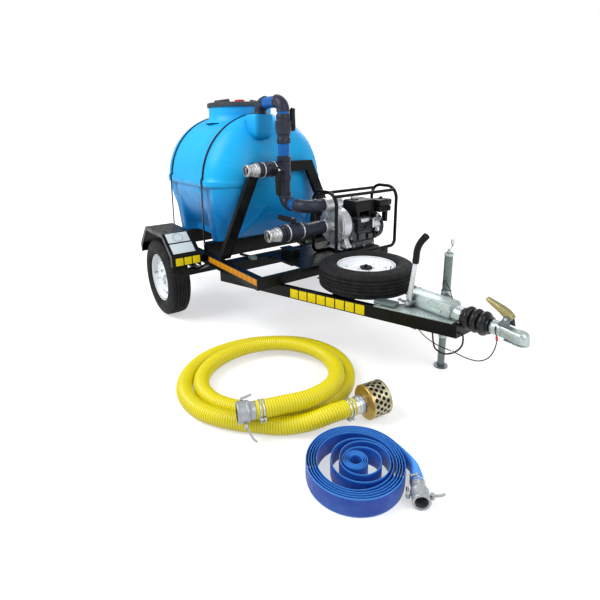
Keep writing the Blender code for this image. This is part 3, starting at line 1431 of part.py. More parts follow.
def even_points(curve, start, end, count):
    """count + 1 points evenly spaced along curve(start..end)."""
    fine = 1600
    samples = [curve(start + (end - start) * i / fine) for i in range(fine + 1)]
    travelled = [0.0]
    for first, second in zip(samples, samples[1:]):
        travelled.append(travelled[-1] + (second - first).length)
    points = []
    j = 0
    for i in range(count + 1):
        goal = travelled[-1] * i / count
        while j < fine - 1 and travelled[j + 1] < goal:
            j += 1
        span = travelled[j + 1] - travelled[j]
        share = (goal - travelled[j]) / span if span else 0.0
        points.append(samples[j].lerp(samples[j + 1], min(share, 1.0)))
    return points, travelled[-1]


def straight_ends(points, length):
    """Adds a straight run of length at both ends of the path."""
    first = points[0] + (points[0] - points[1]).normalized() * length
    last = points[-1] + (points[-1] - points[-2]).normalized() * length
    return [first] + points + [last]


def least_gap(points, radius, apart):
    """Least clear gap between stretches of a tube that are over apart metres away along it."""
    step = (points[1] - points[2]).length
    skip = int(apart / step) + 1
    least = 1.0
    for i in range(len(points)):
        for j in range(i + skip, len(points)):
            least = min(least, (points[i] - points[j]).length - 2 * radius)
    return least


def make_suction_hose():
    points, length = even_points(hose_point, HOSE_FIRST_TURN, HOSE_TURNS, 2 * HOSE_RIBS)
    path = straight_ends(points, HOSE_RADIUS)
    valley = HOSE_VALLEY / HOSE_RADIUS
    scales = [valley] + [1.0 if i % 2 else valley for i in range(len(points))] + [valley]
    hose = meshed(tube("suction_hose", path, HOSE_RADIUS, resolution=2, scales=scales), HOSE_YELLOW)
    coarse, _ = even_points(hose_point, HOSE_FIRST_TURN, HOSE_TURNS, 52)
    inside_path = straight_ends(coarse, HOSE_RADIUS + 0.002)
    inside = meshed(tube("hose_bore", inside_path, HOSE_BORE, resolution=1))
    combine(hose, [inside], "DIFFERENCE")
    print(f"suction hose length {length + 2 * HOSE_RADIUS:.3f} m")
    print(f"suction hose least gap to itself {least_gap(points, HOSE_RADIUS, 0.5) * 1000:.2f} mm")
    make_hose_coupler(path)
    make_strainer(path)


def female_coupler(name, at, axis, radius, length, finish):
    """A cam-lever coupler body with its mouth at the far end of axis."""
    mouth = radius - 0.010
    tail = radius * 0.80
    return turned(
        name,
        [
            (mouth, length),
            (radius, length),
            (radius, length * 0.42),
            (tail, length * 0.28),
            (tail, 0.0),
            (tail - 0.012, 0.0),
            (tail - 0.012, length * 0.34),
            (mouth, length * 0.44),
        ],
        at,
        axis,
        finish,
        steps=16,
        closed=True,
    )


def cam_arms(prefix, at, axis, side, radius, length, reaches, spreads):
    """Two cam levers beside a coupler's mouth, each turned by its spread from the mouth's direction."""
    at, axis, side = Vector(at), Vector(axis).normalized(), Vector(side).normalized()
    pin_axis = axis.cross(side).normalized()
    for sign, label, spread, reach in ((-1, "a", spreads[0], reaches[0]), (1, "b", spreads[1], reaches[1])):
        pin = at + axis * (length * 0.62) + side * (sign * (radius + 0.0093))
        turn = math.radians(spread)
        along = axis * math.cos(turn) + side * (sign * math.sin(turn))
        cam = rod(f"{prefix}_arm_{label}", pin - pin_axis * 0.010, pin + pin_axis * 0.010, 0.009, ALUMINIUM, sides=10)
        bend = pin + along * reach * 0.75
        tip = bend + (along * math.cos(0.4) - axis * math.sin(0.4)) * reach * 0.25
        blade = meshed(tube(f"{prefix}_blade_{label}", [pin, bend, tip], 0.0055, resolution=1))
        combine(cam, [blade])
        pivot_at(cam, pin)
        shown = [round(value, 4) for value in (pin.x + AXLE_X, pin.y, pin.z, *pin_axis)]
        print(f"{prefix} arm {label} pin and axis {shown}")


def make_hose_coupler(path):
    start = path[0]
    axis = (path[0] - path[1]).normalized()
    at = start + axis * GAP
    length = 0.085
    female_coupler("hose_coupler", at, axis, COUPLER_RADIUS, length, ALUMINIUM)
    outward = axis.cross(Vector((0, 0, 1))).normalized()
    side = outward * -1 if outward.dot(at - Vector((HOSE_X, HOSE_Y, 0))) < 0 else outward
    cam_arms("hose_coupler", at, axis, side - Vector((0, 0, 1)), COUPLER_RADIUS, length, (0.045, 0.08), (165, 112))


def make_strainer(path):
    end = path[-1]
    axis = (path[-1] - path[-2]).normalized()
    at = end + axis * GAP
    spigot = 0.062
    wall = 0.004
    body = turned(
        "strainer",
        [
            (0, spigot + STRAINER_LENGTH),
            (STRAINER_RADIUS, spigot + STRAINER_LENGTH),
            (STRAINER_RADIUS, spigot),
            (0.045, spigot),
            (0.045, spigot - 0.02),
            (0.040, spigot - 0.022),
            (0.040, 0.0),
            (0.032, 0.0),
            (0.032, spigot + wall),
            (STRAINER_RADIUS - wall, spigot + wall),
            (STRAINER_RADIUS - wall, spigot + STRAINER_LENGTH - wall),
            (0, spigot + STRAINER_LENGTH - wall),
        ],
        at,
        axis,
        BRASS_ZINC,
        steps=14,
    )
    return body


def layflat_spiral(turn):
    """The rolled hose's line after so many turns from its outside: tight, two loose loops, a tight core."""
    tight = LAYFLAT_TIGHT_TURNS
    first_loop = smoothstep(tight, tight + 0.50, turn)
    second_loop = smoothstep(tight + 1.35, tight + 1.85, turn)
    core = smoothstep(tight + 2.35, tight + 2.85, turn)
    radius = LAYFLAT_OUTER - LAYFLAT_THICKNESS / 2 - LAYFLAT_PITCH * min(turn, tight)
    radius -= 0.028 * first_loop + 0.028 * second_loop + 0.026 * core
    radius -= 0.0085 * min(max(0.0, turn - tight), 2.85)
    radius -= 0.0068 * max(0.0, turn - tight - 2.85)
    shift = LAYFLAT_LOOP_SHIFT * (first_loop - core)
    angle = math.radians(LAYFLAT_START_ANGLE) + 2 * math.pi * turn
    side = math.radians(LAYFLAT_SHIFT_ANGLE)
    x = LAYFLAT_X + radius * math.cos(angle) + shift * math.cos(side)
    y = LAYFLAT_Y + radius * math.sin(angle) + shift * math.sin(side)
    return Vector((x, y))


def make_layflat_hose():
    samples = [layflat_spiral(i / 12) for i in range(int(LAYFLAT_TURNS * 12) + 1)]
    half = LAYFLAT_THICKNESS / 2
    left, right = [], []
    for i, point in enumerate(samples):
        before = samples[max(i - 1, 0)]
        after = samples[min(i + 1, len(samples) - 1)]
        along = (after - before).normalized()
        normal = Vector((-along.y, along.x))
        left.append(tuple(point + normal * half))
        right.append(tuple(point - normal * half))
    roll = outline(
        "layflat_hose",
        left + right[::-1],
        LAYFLAT_WIDTH,
        (0, 0, LAYFLAT_WIDTH / 2 + GAP),
        (0, 0, 0),
        HOSE_BLUE,
    )
    length = sum((b - a).length for a, b in zip(samples, samples[1:]))
    least = 1.0
    for i, first in enumerate(samples):
        for second in samples[i + 6:]:
            least = min(least, (first - second).length)
    print(f"layflat roll length {length:.3f} m, least gap {1000 * (least - LAYFLAT_THICKNESS):.2f} mm")
    combine(roll, [layflat_tail()])


def layflat_tail_sections():
    """Centre, direction, half height and half thickness along the free end of the layflat hose."""
    rolled = layflat_spiral(0.004)
    start = Vector((*rolled, LAYFLAT_WIDTH / 2 + GAP))
    full = LAYFLAT_WIDTH / 2 - 0.0007
    return [
        (start, (0.99, -0.14), full, 0.0035),
        (start + Vector((0.035, -0.003, 0)), (0.99, -0.12), full, 0.004),
        (start + Vector((0.072, -0.008, 0)), (0.97, -0.22), full - 0.001, 0.006),
        (start + Vector((0.104, -0.013, 0)), (0.95, -0.30), 0.039, 0.010),
        (start + Vector((0.132, -0.024, -0.001)), (0.86, -0.50), 0.035, 0.018),
        (start + Vector((0.158, -0.046, -0.002)), (0.75, -0.66), 0.030, 0.025),
        (start + Vector((0.1845, -0.0712, -0.0055)), (0.743, -0.669), 0.027, 0.027),
    ]


def layflat_tail():
    sections = layflat_tail_sections()
    count = 12
    bm = bmesh.new()
    rings = []
    for centre, direction, half_height, half_thickness in sections:
        along = Vector((*direction, 0)).normalized()
        side = Vector((-along.y, along.x, 0))
        ring = []
        for i in range(count):
            angle = 2 * math.pi * i / count
            offset = side * (half_thickness * math.cos(angle)) + Vector((0, 0, half_height * math.sin(angle)))
            ring.append(bm.verts.new(centre + offset))
        rings.append(ring)
    for first, second in zip(rings, rings[1:]):
        for i in range(count):
            bm.faces.new((first[i], first[(i + 1) % count], second[(i + 1) % count], second[i]))
    bm.faces.new(rings[0])
    bm.faces.new(list(reversed(rings[-1])))
    return place("layflat_tail", as_mesh(bm, smooth=True), None)


def make_layflat_coupler():
    end, direction, _, _ = layflat_tail_sections()[-1]
    direction = Vector((*direction, 0)).normalized()
    at = end + direction * GAP
    length = 0.086
    female_coupler("layflat_coupler", at, direction, LAYFLAT_COUPLER_RADIUS, length, ALUMINIUM)
    side = (-direction.y, direction.x, 0)
    cam_arms("layflat_coupler", at, direction, side, LAYFLAT_COUPLER_RADIUS, length, (0.033, 0.05), (184, 100))


def smooth_path(points, count):
    """A rounded path through the points, with count steps between each pair."""
    smooth = []
    for i in range(len(points) - 1):
        a = Vector(points[max(i - 1, 0)])
        b, c = Vector(points[i]), Vector(points[i + 1])
        d = Vector(points[min(i + 2, len(points) - 1)])
        for j in range(count):
            t = j / count
            curved = (2 * a - 5 * b + 4 * c - d) * t**2 + (3 * b - a - 3 * c + d) * t**3
            smooth.append(0.5 * (2 * b + (c - a) * t + curved))
    smooth.append(Vector(points[-1]))
    return smooth


def make_cables():
    low = DRAWBAR_TOP - DRAWBAR_DEPTH
    ring = HEAD_YOKE_RADIUS + GAP + BREAKAWAY_RADIUS
    path = [
        (1.88, -0.115, low - BREAKAWAY_RADIUS - GAP),
        (1.934, -0.112, 0.318),
        (2.012, -0.112, 0.302),
        (2.101, -0.115, 0.305),
        (2.170, -0.115, 0.302),
        (2.233, -0.110, 0.310),
        (2.275, -0.100, 0.340),
        (2.294, -0.088, 0.385),
        (2.292, -0.070, 0.430),
        (2.272, -0.052, 0.458),
    ]
    for y, z in arc((0, COUPLING_Z), ring, 172, 118, 3):
        path.append((BREAKAWAY_RING_X, y, z))
    meshed(tube("breakaway_cable", smooth_path(path, 1), BREAKAWAY_RADIUS, resolution=1), RUBBER)
    nose = DRAWBAR_FRONT_X + 0.006 + GAP
    wire = [
        (1.965, -0.098, low - WIRE_RADIUS - GAP),
        (1.974, -0.098, 0.300),
        (1.990, -0.096, 0.266),
        (2.041, -0.090, 0.258),
        (2.095, -0.082, 0.290),
        (2.122, -0.072, 0.335),
        (2.114, -0.060, 0.380),
        (nose + 0.001, -0.055, 0.383),
    ]
    meshed(tube("electric_cable", smooth_path(wire, 1), WIRE_RADIUS, resolution=1), RUBBER)


make_chassis()
make_drawbar()
make_axle()
make_wheels()
make_spare()
make_fenders()
make_tank()
make_straps()
make_brace()
make_pump_frame()
make_pump()
make_engine()
make_suction_line()
make_discharge_line()
make_coupling()
make_handbrake()
make_jockey()
make_cables()
make_suction_hose()
make_layflat_hose()
make_layflat_coupler()
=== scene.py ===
"""Looks of the sludge suction trailer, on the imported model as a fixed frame.

Shaders work in metres.
"""

from math import asin, copysign, cos, degrees, pi, radians, sin, sqrt

import bmesh
import bpy
from mathutils import Matrix, Vector


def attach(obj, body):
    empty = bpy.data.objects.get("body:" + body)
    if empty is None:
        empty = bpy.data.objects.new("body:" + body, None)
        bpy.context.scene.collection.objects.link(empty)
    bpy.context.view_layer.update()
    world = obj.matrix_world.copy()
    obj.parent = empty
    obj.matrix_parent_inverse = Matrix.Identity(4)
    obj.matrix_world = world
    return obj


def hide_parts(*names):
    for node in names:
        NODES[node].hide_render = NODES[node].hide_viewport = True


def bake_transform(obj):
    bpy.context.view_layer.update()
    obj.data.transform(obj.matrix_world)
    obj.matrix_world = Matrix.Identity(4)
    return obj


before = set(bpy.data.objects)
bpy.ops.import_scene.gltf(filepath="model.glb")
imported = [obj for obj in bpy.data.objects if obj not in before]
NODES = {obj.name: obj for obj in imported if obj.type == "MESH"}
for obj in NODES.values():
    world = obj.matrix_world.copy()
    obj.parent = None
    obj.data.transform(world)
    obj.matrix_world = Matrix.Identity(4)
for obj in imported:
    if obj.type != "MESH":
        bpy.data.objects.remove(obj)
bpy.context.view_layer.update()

AXLE_X = -0.827
X, Y, Z = Vector((1, 0, 0)), Vector((0, 1, 0)), Vector((0, 0, 1))

# The camera of the photograph

PIXELS, SENSOR, FOCAL = 600, 36, 428.550
CENTRE = (301.522, 246.216)
EYE = (3.193 + AXLE_X, -1.872, 1.362)
YAW, PITCH, ROLL = radians(36.987), radians(14.675), radians(-0.712)


def link(piece):
    bpy.context.scene.collection.objects.link(piece)
    return piece


def make_camera():
    forward = Vector((-cos(YAW) * cos(PITCH), sin(YAW) * cos(PITCH), -sin(PITCH)))
    right = forward.cross(Z).normalized()
    up = right.cross(forward)
    basis = Matrix((right * cos(ROLL) + up * sin(ROLL), up * cos(ROLL) - right * sin(ROLL), -forward))
    data = bpy.data.cameras.new("camera")
    data.sensor_width = SENSOR
    data.lens = SENSOR * FOCAL / PIXELS
    data.shift_x = -(CENTRE[0] - PIXELS / 2) / PIXELS
    data.shift_y = (CENTRE[1] - PIXELS / 2) / PIXELS
    camera = link(bpy.data.objects.new("camera", data))
    camera.matrix_world = Matrix.Translation(EYE) @ basis.transposed().to_4x4()
    bpy.context.scene.camera = camera


make_camera()

# Materials


def srgb(*screen):
    """A screen colour, 0 to 255, as the linear values that shaders take."""
    shares = [part / 255 for part in screen]
    return (*(c / 12.92 if c <= 0.04045 else ((c + 0.055) / 1.055) ** 2.4 for c in shares), 1.0)


def add_node(tree, kind, inputs=(), **settings):
    """A node with its settings, and its inputs as values or as other nodes' sockets."""
    node = tree.nodes.new(kind)
    for key, value in settings.items():
        setattr(node, key, value)
    for key, value in dict(inputs).items():
        if isinstance(value, bpy.types.NodeSocket):
            tree.links.new(value, node.inputs[key])
        else:
            node.inputs[key].default_value = value
    return node


class Shader:
    """A node material under construction."""

    def __init__(self, name, roughness, metallic=0.0, **sockets):
        self.material = bpy.data.materials.new(name)
        self.material.use_nodes = True
        self.tree = self.material.node_tree
        self.bsdf = self.tree.nodes["Principled BSDF"]
        for socket, value in {"Roughness": roughness, "Metallic": metallic, **sockets}.items():
            self.bsdf.inputs[socket.replace("_", " ")].default_value = value
        self.place = self.add("TexCoord")["Object"]
        self.normal = None

    def add(self, kind, inputs=(), **settings):
        return add_node(self.tree, "ShaderNode" + kind, inputs, **settings).outputs

    def math(self, operation, *values):
        return self.add("Math", enumerate(values), operation=operation)[0]

    def times(self, first, second):
        return self.math("MULTIPLY", first, second)

    def reach(self, x, y):
        """The length of x and y together."""
        return self.math("SQRT", self.math("ADD", self.times(x, x), self.times(y, y)))

    def noise(self, scale, detail=4.0, stretch=(1, 1, 1)):
        place = self.add("Mapping", {"Scale": stretch, "Vector": self.place})[0]
        return self.add("TexNoise", {"Scale": scale, "Detail": detail, "Vector": place})["Fac"]

    def cells(self, scale):
        return self.add("TexVoronoi", {"Scale": scale, "Vector": self.place})

    def span(self, value, low, high, to_low=0.0, to_high=1.0):
        ends = {"From Min": low, "From Max": high, "To Min": to_low, "To Max": to_high}
        return self.add("MapRange", {"Value": value, **ends}, clamp=True)[0]

    def drift(self, scale, low, high, detail=4.0):
        """A value that wanders between low and high."""
        return self.span(self.noise(scale, detail), 0.3, 0.7, low, high)

    def mix(self, share, first, second):
        """Two tones by share; a tone of three numbers is a screen colour."""
        tones = [srgb(*tone) if isinstance(tone, tuple) and len(tone) == 3 else tone for tone in (first, second)]
        return self.add("Mix", {0: share, 6: tones[0], 7: tones[1]}, data_type="RGBA")[2]

    def rounded(self, radius):
        self.normal = self.add("Bevel", {"Radius": radius}, samples=4)[0]

    def bump(self, height, distance, strength):
        under = {"Normal": self.normal} if self.normal else {}
        self.normal = self.add("Bump", {"Strength": strength, "Distance": distance, "Height": height, **under})[0]

    def worn_edges(self, radius):
        """1 along edges, 0 on open faces."""
        rounded = self.add("Bevel", {"Radius": radius}, samples=6)[0]
        flat = self.add("NewGeometry")["Normal"]
        dot = self.add("VectorMath", {0: rounded, 1: flat}, operation="DOT_PRODUCT")["Value"]
        return self.times(self.span(dot, 0.99, 0.80), self.span(self.noise(60.0), 0.42, 0.62))

    def painted_crevice_shade(self, distance, share):
        """Painted shade: share in corners and gaps, 0 on open faces."""
        light = self.add("AmbientOcclusion", {"Distance": distance}, samples=6)["AO"]
        return self.times(self.math("SUBTRACT", 1.0, self.span(light, 0.35, 0.92)), share)

    def done(self, colour, roughness=None):
        for socket, value in (("Base Color", colour), ("Roughness", roughness), ("Normal", self.normal)):
            if value is not None:
                self.tree.links.new(value, self.bsdf.inputs[socket])
        return self.material


def moulded(name, base, lighter, roughness, grain, depth, radius, shine=0.22):
    """Plastic or rubber: soft colour drift, a fine moulded grain and faint dust."""
    s = Shader(name, roughness, Specular_IOR_Level=shine)
    fine = s.noise(grain, 3.0)
    tone = s.mix(s.span(s.noise(2.5, 3.0), 0.35, 0.65), base, lighter)
    s.rounded(radius)
    s.bump(fine, depth, 0.5)
    tone = s.mix(s.span(fine, 0.45, 0.8, 0.0, 0.25), tone, lighter)
    return s.done(tone, s.drift(9.0, roughness - 0.06, roughness + 0.10))


def painted(name, base, bare, roughness, radius, wear):
    """Enamel on steel: slight orange peel, scuffs and bare metal on worn edges."""
    s = Shader(name, roughness, Specular_IOR_Level=0.18)
    dusty = tuple(0.98 * a + 0.02 * b for a, b in zip(srgb(*base), srgb(*bare)))
    tone = s.mix(s.span(s.noise(4.0, 6.0), 0.45, 0.75, 0.0, 0.5), base, dusty)
    tone = s.mix(s.times(s.worn_edges(radius), wear), tone, bare)
    s.rounded(radius)
    s.bump(s.noise(160.0, 2.0), 0.0003, 0.35)
    return s.done(tone, s.drift(25.0, roughness - 0.08, roughness + 0.15, 5.0))


def metal(name, base, darker, roughness, metallic, spangle, stain=0.5):
    """Galvanised, cast or machined metal with a spangle, stains, fine pits and painted shade in its corners."""
    s = Shader(name, roughness, metallic)
    flecks = s.add("SeparateColor", {0: s.cells(spangle)["Color"]})
    tone = s.mix(s.span(flecks[0], 0.0, 1.0, 0.0, 0.6), base, darker)
    tone = s.mix(s.span(s.noise(14.0, 6.0), 0.50, 0.75, 0.0, stain), tone, darker)
    # Painted shade in corners and gaps: the darker tone at 0.12 of its brightness.
    deep = (*(0.12 * channel for channel in srgb(*darker)[:3]), 1.0)
    tone = s.mix(s.painted_crevice_shade(0.03, 0.55), tone, deep)
    s.rounded(0.002)
    s.bump(s.noise(300.0, 4.0), 0.0004, 0.4)
    return s.done(tone, s.span(flecks[1], 0.0, 1.0, roughness - 0.10, roughness + 0.15))


def reflective(name, base, shade):
    """Retroreflective tape: a small honeycomb under a clear film."""
    s = Shader(name, 0.45, Specular_IOR_Level=0.15, Coat_Weight=0.05, Coat_Roughness=0.25)
    distance = s.cells(260.0)["Distance"]
    s.bump(distance, 0.0003, 0.4)
    return s.done(s.mix(s.span(distance, 0.25, 0.75), base, shade), s.drift(30.0, 0.2, 0.4))


def tank_plastic():
    """Rotation-moulded blue plastic: drifting tone, orange peel, faint scuffs, and painted shade low down and in
    hollows.
    """
    s = Shader("tank_plastic", 0.42, Specular_IOR_Level=0.32)
    tone = s.mix(s.span(s.noise(1.7, 3.0), 0.35, 0.65), (0, 164, 234), (0, 178, 242))
    # Painted shade: a deeper blue low down on the tank, from just under the belt.
    height = s.add("SeparateXYZ", {0: s.place})[2]
    tone = s.mix(s.times(s.span(height, 1.06, 0.78), 0.8), tone, (0, 124, 205))
    tone = s.mix(s.span(s.noise(7.0, 8.0, (1, 1, 4)), 0.60, 0.72, 0.0, 0.18), tone, (96, 190, 244))
    # Painted shade in the tank's hollows and under its belt.
    tone = s.mix(s.painted_crevice_shade(0.30, 0.6), tone, (0, 80, 150))
    s.rounded(0.004)
    s.bump(s.noise(70.0, 2.0), 0.0012, 0.30)
    s.bump(s.noise(420.0, 2.0), 0.0003, 0.25)
    return s.done(tone, s.drift(12.0, 0.34, 0.52, 5.0))


def tyre_rubber():
    s = Shader("tyre_rubber", 0.72, Specular_IOR_Level=0.25)
    tone = s.mix(s.span(s.noise(18.0, 7.0), 0.42, 0.72, 0.0, 0.6), (14, 15, 17), (40, 41, 42))
    s.bump(s.noise(500.0, 3.0), 0.0004, 0.5)
    return s.done(tone, s.drift(40.0, 0.62, 0.82))


def by_mark(name, plain, marked, roughness, grain, depth):
    """A surface whose 'mark' attribute turns the plain tone into the marked one."""
    s = Shader(name, roughness)
    tone = s.mix(s.add("Attribute", attribute_name="mark")["Fac"], plain, marked)
    tone = s.mix(s.span(s.noise(6.0, 4.0), 0.35, 0.65, 0.0, 0.22), tone, marked)
    s.bump(s.noise(grain, 3.0), depth, 0.5)
    return s.done(tone, s.drift(30.0, roughness - 0.06, roughness + 0.10))


def perforated():
    """Zinc-plated sheet with staggered rows of holes round the strainer's side, painted near black as shade inside
    the can.
    """
    pitch, row_pitch, hole_radius, first_row = 0.0314, 0.0205, 0.0098, 0.076
    s = Shader("strainer_metal", 0.34, 0.8)
    x, y, z = s.add("SeparateXYZ", {0: s.add("Attribute", attribute_name="can")["Vector"]})
    height = s.math("DIVIDE", s.math("SUBTRACT", z, first_row), row_pitch)
    shift = s.times(s.math("MODULO", s.math("ABSOLUTE", s.math("FLOOR", height)), 2.0), 0.5)
    turns = s.math("ADD", s.times(s.math("ARCTAN2", y, x), 17 / (2 * pi)), shift)
    u = s.times(s.math("SUBTRACT", s.math("FRACT", turns), 0.5), pitch)
    v = s.times(s.math("SUBTRACT", s.math("FRACT", height), 0.5), row_pitch)
    side = s.times(s.span(z, 0.0760, 0.0770), s.span(z, 0.1570, 0.1580, 1.0, 0.0))
    side = s.times(side, s.span(s.reach(x, y), 0.0825, 0.0835))
    hole = s.times(s.span(s.reach(u, v), hole_radius, hole_radius - 0.0008), side)
    tone = s.mix(s.span(z, 0.066, 0.080), (190, 158, 84), (184, 178, 146))
    tone = s.mix(s.span(s.noise(22.0, 6.0), 0.45, 0.75, 0.0, 0.6), tone, (132, 104, 60))
    s.rounded(0.001)
    s.bump(s.math("SUBTRACT", 1.0, hole), 0.002, 1.0)
    # Painted shade: the holes are near black where the can's inside would be seen.
    return s.done(s.mix(hole, tone, (16, 26, 18)), s.drift(30.0, 0.26, 0.46))


STEEL = (120, 122, 126)
frame_paint = painted("frame_paint", (5, 6, 7), STEEL, 0.30, 0.003, 0.35)
tube_paint = painted("tube_paint", (6, 6, 7), STEEL, 0.28, 0.002, 0.3)
wheel_paint = painted("wheel_paint", (232, 236, 240), (150, 152, 156), 0.25, 0.002, 0.35)
white_plate = painted("white_plate", (196, 206, 212), (150, 156, 160), 0.4, 0.001, 0.2)
grey_ink = painted("grey_ring", (150, 160, 166), (120, 128, 132), 0.5, 0.001, 0.2)
galvanised = metal("galvanised_steel", (196, 209, 207), (146, 160, 158), 0.36, 0.6, 170.0)
dull_zinc = metal("dull_galvanised", (126, 140, 140), (84, 96, 96), 0.4, 0.55, 200.0)
bright_zinc = metal("bright_zinc", (216, 220, 224), (176, 182, 188), 0.26, 0.75, 520.0, 0.3)
yellow_zinc = metal("yellow_zinc", (184, 174, 124), (122, 110, 68), 0.34, 0.75, 180.0)
coupler_cast = metal("coupler_casting", (186, 191, 194), (132, 138, 142), 0.36, 0.5, 800.0, 0.3)
aluminium = metal("cast_aluminium", (206, 207, 210), (140, 142, 146), 0.36, 0.7, 320.0)
cast_alloy = metal("sand_cast_alloy", (216, 220, 224), (166, 170, 176), 0.34, 0.6, 420.0, 0.3)
bright_alloy = metal("bright_alloy", (214, 220, 224), (130, 136, 142), 0.3, 0.75, 300.0)
engine_metal = metal("engine_casting", (84, 86, 90), (34, 35, 37), 0.45, 0.45, 200.0)
brass = metal("brass_plate", (206, 170, 92), (150, 112, 48), 0.3, 0.85, 240.0)
pvc = moulded("pvc_fitting", (30, 34, 46), (46, 51, 66), 0.34, 180.0, 0.0003, 0.003)
pipe_blue = moulded("pvc_pipe", (10, 84, 160), (26, 108, 184), 0.33, 180.0, 0.0002, 0.002)
black_plastic = moulded("black_plastic", (6, 6, 7), (18, 18, 20), 0.45, 260.0, 0.0004, 0.003)
engine_black = moulded("engine_cowl", (8, 8, 9), (22, 22, 25), 0.42, 220.0, 0.0004, 0.004)
rubber = moulded("black_rubber", (8, 8, 9), (20, 20, 22), 0.6, 300.0, 0.0003, 0.002)
gloss_rubber = moulded("bellows_rubber", (6, 7, 9), (16, 18, 22), 0.32, 300.0, 0.0003, 0.002, 0.4)
lid_plastic = moulded("lid_plastic", (46, 50, 54), (72, 78, 84), 0.5, 150.0, 0.0005, 0.004)
red_cap = moulded("red_plastic", (176, 26, 40), (206, 50, 62), 0.4, 200.0, 0.0003, 0.003)
tape_yellow = reflective("yellow_tape", (240, 222, 22), (214, 188, 8))
tape_orange = reflective("orange_tape", (216, 146, 0), (192, 122, 0))
# The ribbed hose's plain tone is painted shade in the valleys between its ribs; the marked tone is its yellow.
hose_yellow = by_mark("ribbed_hose", (180, 160, 0), (234, 222, 4), 0.35, 400.0, 0.0003)
layflat_blue = by_mark("layflat_weave", (0, 60, 160), (74, 154, 236), 0.45, 700.0, 0.0005)
tank_blue = tank_plastic()
tyre_black = tyre_rubber()
strainer_metal = perforated()

# Pieces that take the place of a solid, with the solid and the colour slot

STANDS_FOR = {
    "ribbed_suction_hose": ("suction_hose", "hose_yellow"),
    "layflat_roll": ("layflat_hose", "hose_blue"),
    "layflat_free_end": ("", "hose_blue"),
    "tank_body": ("tank_shell", "tank_blue"),
    "tank_lid_cover": ("tank_lid", "lid_grey"),
    "strap_band_rear": ("tank_strap_rear", "black_paint"),
    "strap_band_front": ("tank_strap_front", "black_paint"),
    "road_tyre_right": ("tyre_right", "tyre"),
    "road_tyre_left": ("tyre_left", "tyre"),
    "carried_tyre": ("spare_tyre", "tyre"),
    "road_rim_right": ("rim_right", "rim_white"),
    "road_rim_left": ("rim_left", "rim_white"),
    "carried_rim": ("spare_rim", "rim_white"),
    "port_elbow": ("discharge_pipe", "pvc_grey"),
    "riser_elbow": ("", "pvc_grey"),
    "tee_barrel": ("riser_tee", "pvc_grey"),
    "branch_valve_body": ("branch_valve", "pvc_grey"),
    "branch_adapter": ("branch_camlock", "aluminium"),
    "branch_handle": ("branch_valve_lever", ""),
    "riser_valve_body": ("riser_valve", "pvc_grey"),
    "riser_handle": ("riser_valve_lever", ""),
    "return_elbow_near": ("return_bend", "pvc_grey"),
    "suction_line": ("suction_valve", "pvc_grey"),
    "suction_adapter": ("suction_camlock", "aluminium"),
    "suction_handle": ("suction_valve_lever", ""),
    "volute_casing": ("pump_volute", "aluminium"),
    "pump_front_cover": ("pump_cover", "aluminium"),
    "frame_loop_near": ("pump_frame", "black_paint"),
    "crankcase": ("engine_block", "cast_grey"),
    "fuel_tank_body": ("fuel_tank", ""),
    "fuel_cap_cover": ("fuel_cap", ""),
    "air_cleaner_lid": ("air_cleaner", ""),
    "carburettor_body": ("carburettor", ""),
    "starter_handle": ("starter_grip", ""),
    "suction_coupler": ("hose_coupler", "aluminium"),
    "strainer_can": ("strainer", "brass_zinc"),
    "layflat_coupler_body": ("layflat_coupler", "aluminium"),
    "bellows_boot": ("coupling_bellows", "rubber"),
    "draw_shaft": ("coupling_head", "galvanised"),
    "latch_grip": ("latch_handle", "zinc_yellow"),
    "handbrake_grip": ("handbrake_lever", "black_paint"),
    "breakaway_wire": ("breakaway_cable", ""),
    "electric_lead": ("electric_cable", ""),
}


def stand_in(piece):
    node, slot = STANDS_FOR.get(piece.name, ("", ""))
    if node:
        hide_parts(node)


# Mesh making


def metres(point, scale=1000):
    """A point of the drawing in the model's metres and at the model's place."""
    return (point[0] / scale + AXLE_X, point[1] / scale, point[2] / scale)


def split(numbers, size):
    """A long row of numbers cut into rows of size."""
    return [tuple(numbers[i : i + size]) for i in range(0, len(numbers), size)]


def spoke(first, second, angle):
    """The direction at angle from first towards second."""
    return first * cos(angle) + second * sin(angle)


def way_at(path, i):
    """The direction of a path of points at point i."""
    return (path[min(i + 1, len(path) - 1)] - path[max(i - 1, 0)]).normalized()


def smoothstep(low, high, value):
    share = min(max((value - low) / (high - low), 0.0), 1.0)
    return share * share * (3 - 2 * share)


def finish(name, bm, material, smooth=40, bevel=0, body="trailer", mark=None, cut=False, scale=1000):
    """The mesh, drawn at scale to the metre, as an object in the model's frame, riding on its body."""
    for vertex in bm.verts:
        vertex.co = metres(vertex.co, scale)
    bmesh.ops.recalc_face_normals(bm, faces=bm.faces)
    if bevel:
        rounding = {"segments": 2, "profile": 0.6, "affect": "EDGES", "clamp_overlap": True}
        bmesh.ops.bevel(bm, geom=bm.edges[:], offset=bevel / 1000, **rounding)
    for edge in bm.edges:
        edge.smooth = len(edge.link_faces) == 2 and edge.calc_face_angle(0) < radians(smooth)
    for face in bm.faces:
        face.smooth = True
    data = bpy.data.meshes.new(name)
    bm.to_mesh(data)
    bm.free()
    if mark is not None:
        data.attributes.new("mark", "FLOAT", "POINT").data.foreach_set("value", mark)
    data.materials.append(material)
    piece = link(bpy.data.objects.new(name, data))
    if body:
        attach(piece, body)
        if not cut:
            stand_in(piece)
    return piece


